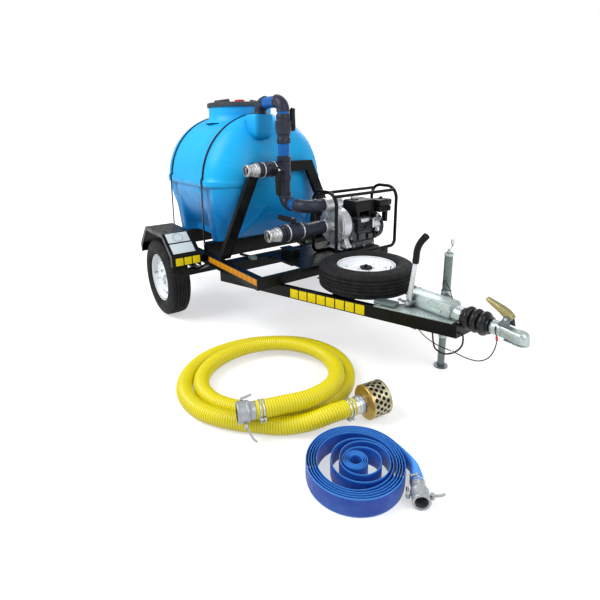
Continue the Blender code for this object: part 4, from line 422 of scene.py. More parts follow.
def grid(rows, closed=False, ring=True):
    """Quads through rows of points; rings that don't close on each other get an end face each."""
    bm = bmesh.new()
    made = [[bm.verts.new(point) for point in row] for row in rows]
    count = len(made[0])
    for first, second in zip(made, made[1:] + made[:1] if closed else made[1:]):
        for i in range(count if ring else count - 1):
            j = (i + 1) % count
            bm.faces.new((first[i], first[j], second[j], second[i]))
    if ring and not closed:
        bm.faces.new(made[0])
        bm.faces.new(list(reversed(made[-1])))
    return bm


def frame_along(axis):
    """The axis, and two directions square to it."""
    axis = Vector(axis).normalized()
    across = axis.orthogonal() if abs(axis.z) >= 0.9 else axis.cross(Z)
    across.normalize()
    return axis, across, axis.cross(across)


def lathe(name, material, at, axis, steps, profile, smooth=40, wave=None, body="trailer", cut=False):
    """profile is radius, height, radius, height along the axis; wave moves a point's radius."""
    axis, across, other = frame_along(axis)
    at = Vector([value / 1000 for value in at])
    rows = []
    for i in range(steps):
        angle = 2 * pi * i / steps
        out = spoke(across, other, angle)
        row = []
        for radius, height in split(profile, 2):
            move = wave(angle, radius, height) if wave else 0.0
            row.append(at + out * (max(radius + move, 0.02) / 1000) + axis * (height / 1000))
        rows.append(row)
    bm = grid(rows, closed=True, ring=False)
    bmesh.ops.remove_doubles(bm, verts=bm.verts, dist=0.00005)
    return finish(name, bm, material, smooth, body=body, cut=cut, scale=1)


def tube_rows(path, radius_at, sides):
    """Rings round a path of points, with a frame that doesn't twist."""
    rows = []
    side = None
    for i, point in enumerate(path):
        along = way_at(path, i)
        side = frame_along(along)[1] if side is None else side
        side = (side - along * side.dot(along)).normalized()
        other = along.cross(side)
        row = []
        for k in range(sides):
            angle = 2 * pi * k / sides
            radius = radius_at(i, angle)
            row.append(point + side * (radius * cos(angle)) + other * (radius * sin(angle)))
        rows.append(row)
    return rows


def tube(name, material, points, radius, sides, smooth=60, body="trailer"):
    return finish(name, grid(tube_rows(points, lambda i, angle: radius, sides)), material, smooth, body=body)


def rod(name, material, start, end, radius, sides, chamfer=0.15, body="trailer"):
    """A round bar with chamfered ends."""
    way = Vector(end) - Vector(start)
    long, edge = way.length, min(radius * chamfer, way.length * 0.3)
    profile = (0, 0, radius - edge, 0, radius, edge, radius, long - edge, radius - edge, long, 0, long)
    return lathe(name, material, start, way, sides, profile, body=body)


def rods(material, *rows):
    """Round bars of one material: name, radius, sides, start and end."""
    for name, radius, sides, *ends in rows:
        rod(name, material, ends[:3], ends[3:], radius, sides)


def block(name, material, bevel, corners, body="trailer", degrees_round=0):
    """A box with rounded edges between two corners, turned about its own upright axis."""
    low, high = Vector(corners[:3]), Vector(corners[3:])
    bm = bmesh.new()
    bmesh.ops.create_cube(bm, size=1.0)
    turn = Matrix.Rotation(radians(degrees_round), 3, "Z")
    for vertex in bm.verts:
        vertex.co = (low + high) / 2 + turn @ (vertex.co * (high - low))
    return finish(name, bm, material, 30, bevel, body)


def blocks(material, *rows):
    """Boxes of one material: name, bevel and two corners."""
    for name, bevel, *corners in rows:
        block(name, material, bevel, corners)


def slab(name, material, bevel, sections, body="trailer"):
    """A bar of four-sided sections: z, low x, high x, near y and far y."""
    rows = []
    for z, x0, x1, y0, y1 in split(sections, 5):
        rows.append([Vector((x0, y0, z)), Vector((x1, y0, z)), Vector((x1, y1, z)), Vector((x0, y1, z))])
    return finish(name, grid(rows), material, 30, bevel, body)


def bolt(name, at, axis, size=5.5, body="trailer"):
    """A hexagon head on a washer."""
    shares = (0, 1.05, 0.8, 1.05, 1, 0.8, 1, 0.18, 1.5, 0.18, 1.5, 0, 0, 0)
    return lathe(name, bright_zinc, at, axis, 6, [size * share for share in shares], 20, body=body)


def even_points(curve, start, end, step):
    """Points at an even step along curve(start..end), and the curve's length."""
    fine = 3000
    samples = [curve(start + (end - start) * i / fine) for i in range(fine + 1)]
    travelled = [0.0]
    for first, second in zip(samples, samples[1:]):
        travelled.append(travelled[-1] + (second - first).length)
    count = max(2, round(travelled[-1] / step))
    points = []
    j = 0
    for i in range(count + 1):
        goal = travelled[-1] * i / count
        while j < fine - 1 and travelled[j + 1] < goal:
            j += 1
        share = (goal - travelled[j]) / (travelled[j + 1] - travelled[j])
        points.append(samples[j].lerp(samples[j + 1], min(share, 1.0)))
    return points, travelled[-1]


def spline(rows, share):
    """A smooth value between rows of numbers, share 0 to 1 along them."""
    place = share * (len(rows) - 1)
    i = min(int(place), len(rows) - 2)
    t = place - i
    near = (rows[max(i - 1, 0)], rows[i], rows[i + 1], rows[min(i + 2, len(rows) - 1)])
    return [
        b + 0.5 * t * (c - a + t * (2 * a - 5 * b + 4 * c - d + t * (3 * (b - c) + d - a)))
        for a, b, c, d in zip(*near)
    ]


def smooth_path(step, numbers):
    """Even points on a smooth curve through x, y, z, x, y, z."""
    rows = split(numbers, 3)
    return even_points(lambda share: Vector(spline(rows, share)), 0.0, 1.0, step)[0]


# The suction hose: the same route as its solid

HOSE_AT = (1363, -720)
HOSE_RADIUS, HOSE_VALLEY, HOSE_PITCH = 43.5, 40.8, 12.5
HOSE_START = radians(-43.0)
HOSE_TURNS = (0.017, 2.145)
HOSE_ROUTE = split((
    0.00, 443, 140, 0.05, 411, 138.8, 0.10, 408, 134.5, 0.16, 404, 132.6, 0.195, 390, 132.2, 0.23, 369, 118,
    0.29, 347, 100, 0.38, 331, 87, 0.50, 322, 79, 0.62, 334, 70, 0.73, 375, 56, 0.80, 384, 48, 0.87, 362, 42.8,
    0.94, 330, 42.8, 1.02, 322, 42.8, 1.09, 340, 42.8, 1.17, 398, 42.8, 1.25, 428, 42.8, 1.35, 438, 42.8,
    1.43, 424, 42.8, 1.52, 406, 42.8, 1.61, 423, 42.8, 1.71, 462, 42.8, 1.80, 474, 42.8, 1.88, 451, 42.8,
    1.94, 421, 42.8, 2.00, 412, 42.8, 2.05, 438, 43.7, 2.09, 474, 62, 2.125, 509, 84.5, 2.145, 532, 85.8,
), 3)


def hose_point(turn):
    """The hose's middle: its route gives the reach and the height at each turn."""
    last = len(HOSE_ROUTE) - 1
    i = 0
    while i < last - 1 and HOSE_ROUTE[i + 1][0] < turn:
        i += 1
    before, here, ahead, after = (HOSE_ROUTE[min(max(k, 0), last)] for k in range(i - 1, i + 3))
    span = ahead[0] - here[0]
    t = (turn - here[0]) / span
    values = []
    for k in (1, 2):
        slope_here = (ahead[k] - before[k]) / (ahead[0] - before[0]) * span
        slope_ahead = (after[k] - here[k]) / (after[0] - here[0]) * span
        cubic = (2 * t**3 - 3 * t**2 + 1) * here[k] + (t**3 - 2 * t**2 + t) * slope_here
        values.append(cubic + (3 * t**2 - 2 * t**3) * ahead[k] + (t**3 - t**2) * slope_ahead)
    angle = HOSE_START + 2 * pi * turn
    return Vector((HOSE_AT[0] + values[0] * cos(angle), HOSE_AT[1] + values[0] * sin(angle), values[1]))


def make_suction_hose():
    step = HOSE_PITCH / 5
    points, length = even_points(hose_point, *HOSE_TURNS, step)
    lead = round(HOSE_RADIUS / step)
    first_way = (points[0] - points[1]).normalized()
    last_way = (points[-1] - points[-2]).normalized()
    first = [points[0] + first_way * (step * (lead - i)) for i in range(lead)]
    points = first + points + [points[-1] + last_way * (step * (i + 1)) for i in range(lead)]
    marks = []

    def radius_at(i, angle):
        crest = (0.5 + 0.5 * cos(2 * pi * i * step / HOSE_PITCH - angle)) ** 0.7
        # Painted shade: the valleys take the darker plain tone, the crests the yellow.
        marks.append(0.15 + 0.85 * crest)
        return HOSE_VALLEY + (HOSE_RADIUS - HOSE_VALLEY) * crest

    hose = finish("ribbed_suction_hose", grid(tube_rows(points, radius_at, 28)), hose_yellow, 80, mark=marks)
    route = points[::4] if (len(points) - 1) % 4 == 0 else points[::4] + points[-1:]
    return hose, points, [list(metres(point)) for point in route], (length + 2 * lead * step) / 1000


hose_piece, hose_points, hose_way, hose_length = make_suction_hose()

# The layflat hose: the same roll and free end as its solid

ROLL_AT, ROLL_OUTER, ROLL_START, ROLL_TURNS = (2150, -825), 208.5, radians(82.0), 11.4
ROLL_WIDTH, ROLL_THICKNESS, ROLL_PITCH = 85, 5, 10.5
ROLL_TIGHT, ROLL_LOOSE = 4.6, 2.85
ROLL_SHIFT, ROLL_SIDE = 22, radians(53.0)
TAIL_AT = (0.004, 0.3)
TAIL_WAY = Vector((0.743, -0.669, 0)).normalized()
TAIL_SECTIONS = split((
    0, 0, 0, 0.99, -0.14, 41.8, 3, 35, -3, 0, 0.99, -0.12, 41.8, 3.6, 72, -8, 0, 0.97, -0.22, 40.8, 5.8,
    104, -13, 0, 0.95, -0.30, 39, 10, 132, -24, -1, 0.86, -0.50, 35, 18, 158, -46, -2, 0.75, -0.66, 30, 25,
    184.5, -71.2, -5.5, 0.743, -0.669, 27, 27,
), 7)


def roll_point(turn):
    past = turn - ROLL_TIGHT
    first_loop, second_loop, core = (smoothstep(at, at + 0.50, past) for at in (0, 1.35, 2.35))
    radius = ROLL_OUTER - ROLL_THICKNESS / 2 - ROLL_PITCH * min(turn, ROLL_TIGHT)
    radius -= 28 * first_loop + 28 * second_loop + 26 * core
    radius -= 8.5 * min(max(0.0, past), ROLL_LOOSE) + 6.8 * max(0.0, past - ROLL_LOOSE)
    shift = ROLL_SHIFT * (first_loop - core)
    angle = ROLL_START + 2 * pi * turn
    x = ROLL_AT[0] + radius * cos(angle) + shift * cos(ROLL_SIDE)
    return Vector((x, ROLL_AT[1] + radius * sin(angle) + shift * sin(ROLL_SIDE), 0))


def tail_start():
    start = roll_point(TAIL_AT[0])
    start.z = ROLL_WIDTH / 2 + TAIL_AT[1]
    return start


def make_layflat():
    points = even_points(roll_point, 0.0, ROLL_TURNS, 12)[0]
    rows, marks = [], []
    sides = 8
    half = ROLL_WIDTH / 2 - 0.6
    for i, point in enumerate(points):
        along = way_at(points, i)
        normal = Vector((-along.y, along.x, 0))
        thick = ROLL_THICKNESS / 2 * (1.0 - 0.12 * sin(i * 0.9) * sin(i * 0.13))
        lift = 0.9 + half + 0.4 * sin(i * 0.31)
        row = []
        for k in range(2 * sides):
            height = -1 + 2 * (k if k < sides else 2 * sides - 1 - k) / (sides - 1)
            height = copysign(abs(height) ** 0.6, height)
            waist = sqrt(max(1 - abs(height) ** 6, 0.0)) * 0.85 + 0.15
            row.append(point + normal * ((1 if k < sides else -1) * thick * waist) + Z * (lift + height * half))
            marks.append(smoothstep(0.86, 1.0, abs(height)))
        rows.append(row)
    roll = finish("layflat_roll", grid(rows), layflat_blue, 70, mark=marks)
    rows, marks = [], []
    rings, count = 48, 32
    for i in range(rings + 1):
        x, y, z, ax, ay, high, thick = spline(TAIL_SECTIONS, i / rings)
        along = Vector((ax, ay, 0)).normalized()
        side = Vector((-along.y, along.x, 0))
        pucker = smoothstep(0.35, 0.75, i / rings) * (1 - smoothstep(0.9, 1.0, i / rings))
        row = []
        for k in range(count):
            angle = 2 * pi * k / count
            crease = 1 + 0.05 * pucker * cos(6 * angle) + 0.03 * pucker * sin(3 * angle + i * 0.3)
            offset = spoke(side * thick, Z * high, angle) * crease
            row.append(tail_start() + Vector((x, y, z)) + offset)
            marks.append(0.60 + 0.35 * abs(sin(angle)) ** 6)
        rows.append(row)
    tail = finish("layflat_free_end", grid(rows), layflat_blue, 70, mark=marks)


make_layflat()

# The tank: its solid's sections with fine steps

TANK_X, TANK_Z, TANK_RADIUS = -128, 1000, 523
TANK_HALF, TANK_STRAIGHT = 589, 325
TANK_BOTTOM, FOOT_HALF = 560.3, 455
BELT_TOP, BELT_UNDER, BELT_PROUD = 34, 14, 10
STRAPS = (-425, 186)
NECK_RADIUS, NECK_TOP = 258, 1597
INLET_X, RISER_X, RISER_Y = 400, 690, -130


def tank_section(x):
    """The tank's outline at x: ribbed top, belt, then a waist between the straps' pillars."""
    past = (abs(x - TANK_X) - TANK_STRAIGHT) / (TANK_HALF - TANK_STRAIGHT)
    share = max(0.0, 1 - min(max(past, 0.0), 1.0) ** 2.2) ** (1 / 2.2)
    open_wall = smoothstep(45, 95, min(abs(x - strap) for strap in STRAPS))
    between = smoothstep(30, 80, x - STRAPS[0]) * (1 - smoothstep(-80, -30, x - STRAPS[1]))
    rib = 3.5 * between * (0.5 - 0.5 * cos(2 * pi * (x - STRAPS[0]) / 61.1))
    start = degrees(asin((BELT_TOP + 10) / TANK_RADIUS))
    points = []
    for i in range(57):
        angle = radians(start + (180 - 2 * start) * i / 56)
        radius = TANK_RADIUS - rib * smoothstep(0.25, 0.5, sin(angle))
        points.append((radius * cos(angle), radius * sin(angle)))
    edge = TANK_RADIUS + BELT_PROUD
    side = [(edge - 6, BELT_TOP + 4), (edge - 2, BELT_TOP), (edge, BELT_TOP - 4)]
    side += [(edge, -BELT_UNDER + 3), (edge - 3, -BELT_UNDER)]
    depth = TANK_Z - TANK_BOTTOM
    for i in range(21):
        level = BELT_UNDER + 4 + (depth - BELT_UNDER - 4) * i / 20
        round_y = sqrt(max(TANK_RADIUS**2 - min(level, 385) ** 2, 0)) - 4
        flat_y = (TANK_RADIUS - 22) + (FOOT_HALF - TANK_RADIUS + 22) * level / depth
        y = round_y + (flat_y - round_y) * (1 - 0.85 * open_wall)
        if level > 390:
            y -= 10 * open_wall * smoothstep(390, depth, level)
        y -= 16 * open_wall * between * smoothstep(30, 160, level) * (1 - smoothstep(375, 420, level))
        side.append((y, -level))
    side.append((side[-1][0] - 20, -depth))
    points += [(-y, z) for y, z in side] + [(y, z) for y, z in reversed(side)]
    return [Vector((x, y * share, TANK_Z + z * share)) for y, z in points]


def make_tank():
    run = TANK_HALF - TANK_STRAIGHT
    ends = [TANK_STRAIGHT + run * sin(radians(90 * i / 26)) for i in range(26)] + [TANK_STRAIGHT + run * 0.9993]
    stations = [TANK_X + end for end in reversed(ends)]
    stations += [TANK_X + TANK_STRAIGHT * (1 - 2 * i / 74) for i in range(1, 74)]
    stations += [TANK_X - end for end in ends]
    finish("tank_body", grid([tank_section(x) for x in stations]), tank_blue, 50)
    neck = [NECK_RADIUS + 30, 1455, NECK_RADIUS + 12, 1478, NECK_RADIUS + 3, 1500, NECK_RADIUS, 1520]
    neck += [NECK_RADIUS, NECK_TOP - 3, NECK_RADIUS - 3, NECK_TOP, NECK_RADIUS - 11, NECK_TOP]
    neck += [NECK_RADIUS - 14, NECK_TOP - 3, NECK_RADIUS - 14, 1420, NECK_RADIUS + 20, 1420]
    lathe("tank_neck", tank_blue, (TANK_X, 0, 0), Z, 128, neck)
    rows = []
    for z, shrink in ((1325, 60), (1335, 30), (1352, 14), (1385, 4), (1495, 0), (1502, 3), (1505, 10)):
        row = []
        for i in range(48):
            turn = 2 * pi * i / 48
            reach = (abs(cos(turn)) ** 5 + abs(sin(turn)) ** 5) ** -0.2
            out = Vector(((77.5 - shrink) * reach * cos(turn), (85 - shrink) * reach * sin(turn), 0))
            row.append(Vector((INLET_X - 22.5, RISER_Y + 5, z)) + out)
        rows.append(row)
    finish("tank_inlet_pad", grid(rows), tank_blue, 60)


def make_lid():
    rim, radius, inside = NECK_TOP + 0.3, 270, NECK_RADIUS + 4.5
    profile = [0, rim + 18, 40, rim + 18, 120, rim + 17.2]
    for i in range(9):
        inner = 135 + 14.5 * i
        profile += [inner, rim + 17.8, inner + 4, rim + 15.8, inner + 8, rim + 15.8]
    profile += [radius - 8, rim + 16.5, radius - 2, rim + 13, radius, rim + 8, radius, rim - 14]
    profile += [radius - 3, rim - 18, inside, rim - 18, inside, rim, 30, rim, 0, rim]

    def knurl(angle, r, height):
        return -2.2 * (0.5 + 0.5 * cos(72 * angle)) if r > radius - 1 and height < rim + 9 else 0.0

    lathe("tank_lid_cover", lid_plastic, (TANK_X, 0, 0), Z, 288, profile, wave=knurl, body="lid")
    low = rim + 13.5
    for side, name in ((-1, "right"), (1, "left")):
        y = side * 165
        rows = []
        for x, high in ((-45, 6), (-41, 26), (-20, 38), (20, 38), (41, 26), (45, 6)):
            half = 60 - 8 * (abs(x) > 40)
            tilt = 0.22 * side
            section = ((-half, 0), (-half + 4, high * (0.78 + tilt)), (half - 4, high * (0.78 - tilt)), (half, 0))
            rows.append([Vector((TANK_X + x, y + across, low + rise)) for across, rise in section])
        finish(f"lid_grip_{name}", grid(rows), lid_plastic, 30, 2, "lid")
    breather = (0, 30, 34, 30, 40, 27, 42, 18, 43, 4, 46, 0, 0, 0)
    lathe("lid_breather", red_cap, (TANK_X, 0, low + 4), Z, 40, breather, body="lid")


def make_straps():
    belt_y, radius = TANK_RADIUS + BELT_PROUD + 1.2, TANK_RADIUS + 1.6
    half = [Vector((0, belt_y + 8, 500.4)), Vector((0, belt_y, TANK_Z - 20)), Vector((0, belt_y, TANK_Z + BELT_TOP))]
    half += [Z * TANK_Z + spoke(Y, Z, radians(6.5 + 83.5 * i / 44)) * radius for i in range(45)]
    path = half + [Vector((0, -p.y, p.z)) for p in reversed(half[:-1])]
    section = split((-13, 0, -14, 0.6, -14, 2.2, -13, 2.8, 13, 2.8, 14, 2.2, 14, 0.6, 13, 0), 2)
    head = (0, 9, 6, 9, 7.5, 7, 7.5, 0, 12, 0, 12, -2, 0, -2)
    for strap_x, name in zip(STRAPS, ("rear", "front")):
        rows = []
        for i, point in enumerate(path):
            out = way_at(path, i).cross(X)
            rows.append([point + out * lift + X * (strap_x + across) for across, lift in section])
        finish(f"strap_band_{name}", grid(rows), frame_paint)
        for side, end in ((-1, "right"), (1, "left")):
            at = (strap_x, side * (belt_y + 9.5), 550)
            lathe(f"strap_bolt_{name}_{end}", bright_zinc, at, Y * side, 6, head)


make_tank()
make_lid()
make_straps()

# Wheels

WHEEL_RADIUS, TRACK_HALF = 297, 786
SPARE_AT = (1380, 0, 507.5)
TREAD_FROM = 288.5
HALF_TYRE = split((
    170.2, 55, 183.5, 56.2, 185, 60, 187.5, 65.5, 192, 69, 198.5, 73.5, 199.3, 74.5, 201, 74.7, 201.8, 74.2,
    210, 79, 220, 81.5, 231, 82.4, 233, 83, 234.5, 82.4, 245, 81.2, 256, 78.2, 266, 74.2, 269.5, 74,
    271.5, 72.2, 279, 69.5, 285, 66, 290, 62, 293.2, 58.5, 294.6, 55, 295.5, 47, 295.8, 45.2, 289.3, 44,
    289, 40, 296.2, 38.8, 296.8, 29, 296.8, 23.2, 289.8, 22, 289.5, 16.5, 296.9, 15.2, 297, 7.5, 297, 5.5,
    291.2, 4.5, 291, 0,
), 2)
ROAD_HUB = (0, 52, 20, 52, 26, 50, 28.5, 46, 30.5, 31)
SPARE_HUB = (31, 30, 34, 31, 37, 31, 40, 30.8, 43, 30.6)
RIM = (
    40, 30, 62, 30, 70, 29, 78, 25.5, 86, 24.5, 96, 26.5, 104, 30, 112, 32, 120, 31.8, 128, 30, 136, 27,
    144, 24.5, 152, 23.8, 158, 25, 162.5, 29, 164.5, 34.5, 165.2, 42, 166, 50, 169, 55, 174, 56.3, 179, 57,
    181.5, 58.5, 182.5, 60, 181.8, 60.8, 180, 60, 177, 56.5, 170, 55.4, 170, -55.4, 180, -60, 182.5, -60,
    181.5, -57, 166.5, -54, 165, 15, 152, 20, 128, 26.2, 112, 28, 86, 20.5, 62, 26.2, 31, 26.2,
)


def make_tyre(name, at, axis, body):
    """From the inner bead over the tread to the outer bead, with grooves, zigzags and sipes."""
    axis, across, other = frame_along(axis)
    profile = HALF_TYRE + [(radius, -height) for radius, height in reversed(HALF_TYRE[:-1])]
    rows = []
    for i in range(256):
        out = spoke(across, other, 2 * pi * i / 256)
        row = []
        for radius, height in profile:
            deep = 0
            if radius > TREAD_FROM:
                if abs(height) < 50:
                    height += 1.1 if (i // 2) % 2 else -1.1
                    if i % 4 == 0 and radius > 295 and abs(height) > 24:
                        deep = 3.5
                elif i % 4 == 0 and 50 < abs(height) < 62.5:
                    deep = 3
            row.append(Vector(at) + out * (radius - deep) + axis * height)
        rows.append(row)
    bm = grid(rows, closed=True)
    finish(name, bm, tyre_black, 35, body=body)


def apply_cutters(piece, cutters):
    """Cuts the cutters out of the piece, for good, and removes them."""
    for cutter in cutters:
        modifier = piece.modifiers.new("cut", "BOOLEAN")
        modifier.operation = "DIFFERENCE"
        modifier.solver = "EXACT"
        modifier.object = cutter
    bpy.context.view_layer.update()
    evaluated = piece.evaluated_get(bpy.context.evaluated_depsgraph_get())
    fresh = bpy.data.meshes.new_from_object(evaluated)
    piece.modifiers.clear()
    piece.data = fresh
    for cutter in cutters:
        bpy.data.objects.remove(cutter)


def make_rim(name, at, axis, body, spare):
    """A pressed rim with twelve windows, and four nuts or, on the spare, four empty holes."""
    axis, across, other = frame_along(axis)
    at = Vector(at)
    profile = (SPARE_HUB if spare else ROAD_HUB) + RIM + (() if spare else (0, 26.2))
    rim = lathe(name, wheel_paint, at, axis, 96, profile, 50, body=body, cut=True)
    cutters = []
    # The windows are drawn in metres, as lathe() draws: the last digits decide how the cut comes out.
    hub = Vector([value / 1000 for value in at])
    for i in range(12):
        out = spoke(across, other, 2 * pi * (i + 0.5) / 12)
        way = axis.cross(out)
        turns = [2 * pi * k / 20 for k in range(20)]
        window = [hub + (out * (0.128 + 0.0085 * cos(turn)) + way * (0.0165 * sin(turn))) for turn in turns]
        rows = [[spot + axis * level for spot in window] for level in (0.005, 0.05)]
        cutters.append(finish(f"{name}_cut_{i}", grid(rows), wheel_paint, body=body, scale=1))
    for i in range(4):
        hole = at + spoke(across, other, 2 * pi * (i + 0.25) / 4) * 50
        if spare:
            ends = hole + axis * 10, hole + axis * 50
            cutters.append(rod(f"{name}_hole_{i}", wheel_paint, *ends, 7.5, 16, 0.0, body))
        else:
            nut = (0, 17, 6, 17, 8.5, 13.5, 9.5, 4, 10.5, 0, 0, 0)
            lathe(f"{name}_nut_{i}", bright_zinc, hole + axis * 29.5, axis, 6, nut, 20, body=body)
    apply_cutters(rim, cutters)
    stand_in(rim)
    valve = at + across * 150 + axis * 20
    rod(f"{name}_valve", rubber, valve, valve + axis * 30 + across * 4, 3.2, 12, body=body)


def make_wheels():
    drum = (0, 19, 100, 19, 104, 15, 104.8, 0, 104.8, -36, 108, -40, 108, -44, 30, -44, 0, -44)
    for side, name in ((-1, "right"), (1, "left")):
        at, axis, body = (0, side * TRACK_HALF, WHEEL_RADIUS), Y * side, f"wheel_{name}"
        make_tyre(f"road_tyre_{name}", at, axis, body)
        make_rim(f"road_rim_{name}", at, axis, body, False)
        lathe(f"brake_drum_{name}", engine_metal, at, axis, 64, drum, body=body)
    make_tyre("carried_tyre", SPARE_AT, Z, "trailer")
    make_rim("carried_rim", SPARE_AT, Z, "trailer", True)


make_wheels()

# Pipework

PUMP_X, PUMP_Z, PORT_Z, TEE_Z, RETURN_Z = 930, 730, 885, 1130, 1580
PIPE, SOCKET = 39.5, 47.5
ELBOW_BEND = 62
HANDLE_Y, ADAPTER_Y = -235, -320.3


def elbow(name, corner, back, ahead, socket):
    """A moulded bend: a socket at each end and a plain curve between."""
    corner = Vector(corner)
    ends = ((socket + 1, 40), (socket, 45.5), (socket - 2, SOCKET), (6, SOCKET), (3, 46.8), (0, 44.8))
    rings = [(corner + back * (ELBOW_BEND + reach), radius) for reach, radius in ends]
    for j in range(1, 16):
        out = spoke(ahead, back, pi / 2 * j / 16) * ELBOW_BEND
        rings.append((corner + (back + ahead) * ELBOW_BEND - out, 44.2))
    rings += [(corner + ahead * (ELBOW_BEND + reach), radius) for reach, radius in reversed(ends)]
    points = [point for point, radius in rings]
    finish(name, grid(tube_rows(points, lambda i, angle: rings[i][1], 40)), pvc, 35)


def pipe(name, start, end, radius=PIPE, material=pipe_blue):
    rod(name, material, start, end, radius, 48, 0.03)


def clamp_band(name, at, axis, radius, width, bolt_turn):
    """A bolted steel band round a pipe or hose."""
    half = width / 2
    low, edge, ridge = radius - 1, radius + 1.2, radius + 2.2
    profile = (low, -half, edge, -half, ridge, 1.2 - half, radius + 1.4, 0, ridge, half - 1.2, edge, half, low, half)
    lathe(name, bright_zinc, at, axis, 64, profile)
    axis, across, other = frame_along(axis)
    out = spoke(across, other, bolt_turn)
    way = axis.cross(out)
    seat = Vector(at) + out * (radius + 9)
    rod(f"{name}_bolt", bright_zinc, seat - way * 16, seat + way * 16, 3, 12)
    for side, end in ((-1, "a"), (1, "b")):
        lug = (0, 0, 7.5, 0, 8.5, 1, 8.5, 3, 6, 4, 0, 4)
        lathe(f"{name}_lug_{end}", bright_zinc, seat + way * side * 9, way * side, 6, lug, 20)


def valve_handle(name, pivot, stem, along, length, body):
    """A moulded lever: a round boss, and a tapered grip with a raised edge."""
    pivot = Vector(pivot)
    across = stem.cross(along)
    seat = pivot + stem * 78
    high = 13.8
    rows = []
    for i in range(25):
        share = i / 24
        x = -20 + (length + 20) * share
        half = 17.5 - 3 * smoothstep(0.2, 0.8, share) + 2 * smoothstep(0.75, 1.0, share)
        if share < 0.12:
            half *= sqrt(max(1 - (1 - share / 0.12) ** 2, 0.02))
        if share > 0.93:
            half *= sqrt(max(1 - ((share - 0.93) / 0.07) ** 2, 0.02))
        low = -16 * smoothstep(0, 30, x) * (1 - 0.5 * smoothstep(0.7 * length, length, x))
        side = [(half, low), (half, high - 2), (half - 1.5, high), (half * 0.55, high), (half * 0.45, high - 3)]
        section = [(-y, z) for y, z in side] + side[::-1]
        rows.append([seat + along * x + across * y + stem * z for y, z in section])
    finish(name, grid(rows), black_plastic, 30, body=body)
    neck = (0, 11.5, 18.5, 11.5, 20.5, 9, 20.5, -2, 17.5, -3.5, 16.5, -10.8, 0, -10.8)
    lathe(f"{name}_stem", black_plastic, pivot + stem * 68, stem, 32, neck, body=body)
    screw = (0, 4.5, 6, 4.5, 8.5, 2.5, 9, 0, 0, 0)
    lathe(f"{name}_screw", bright_zinc, seat + stem * 13.5, stem, 6, screw, 20, body=body)


def camlock(name, at):
    """The grooved male adapter in a socket sleeve, a little slimmer where it stands out of the sleeve."""
    profile = (
        34, 120, 38.5, 120, 40.5, 118.5, 43.2, 114.5, 43.6, 110, 43.6, 103, 42.5, 100.5, 39.5, 97.5, 37.2, 93.5,
        36.8, 89, 37.2, 84.5, 39.5, 80, 42.5, 77, 43.6, 74.5, 43.8, 60, 44, 57.5, 48, 55, 48.5, 53.5, 48.5, 25,
        47.8, 23.2, 45.5, 22.5, 45.5, 3, 44.8, 0, 34, 0,
    )

    def slimmer(angle, r, height):
        return -0.06 * r if height > 34 and r > 35 else 0.0

    lathe(name, aluminium, at, -Y, 96, profile, 35, slimmer)
    sleeve = (46, 0, 50, 0, 51.2, 2, 51.2, 24, 50, 29, 48, 33.5, 47, 34.5, 44, 34.5)
    lathe(f"{name}_socket", pvc, at, -Y, 64, sleeve)


def valve_wave(ribs, depth, lift, radius):
    """Ribs for the hand on whatever stands out past a radius."""
    return lambda angle, r, height: depth * cos(ribs * angle) - lift if r > radius else 0.0


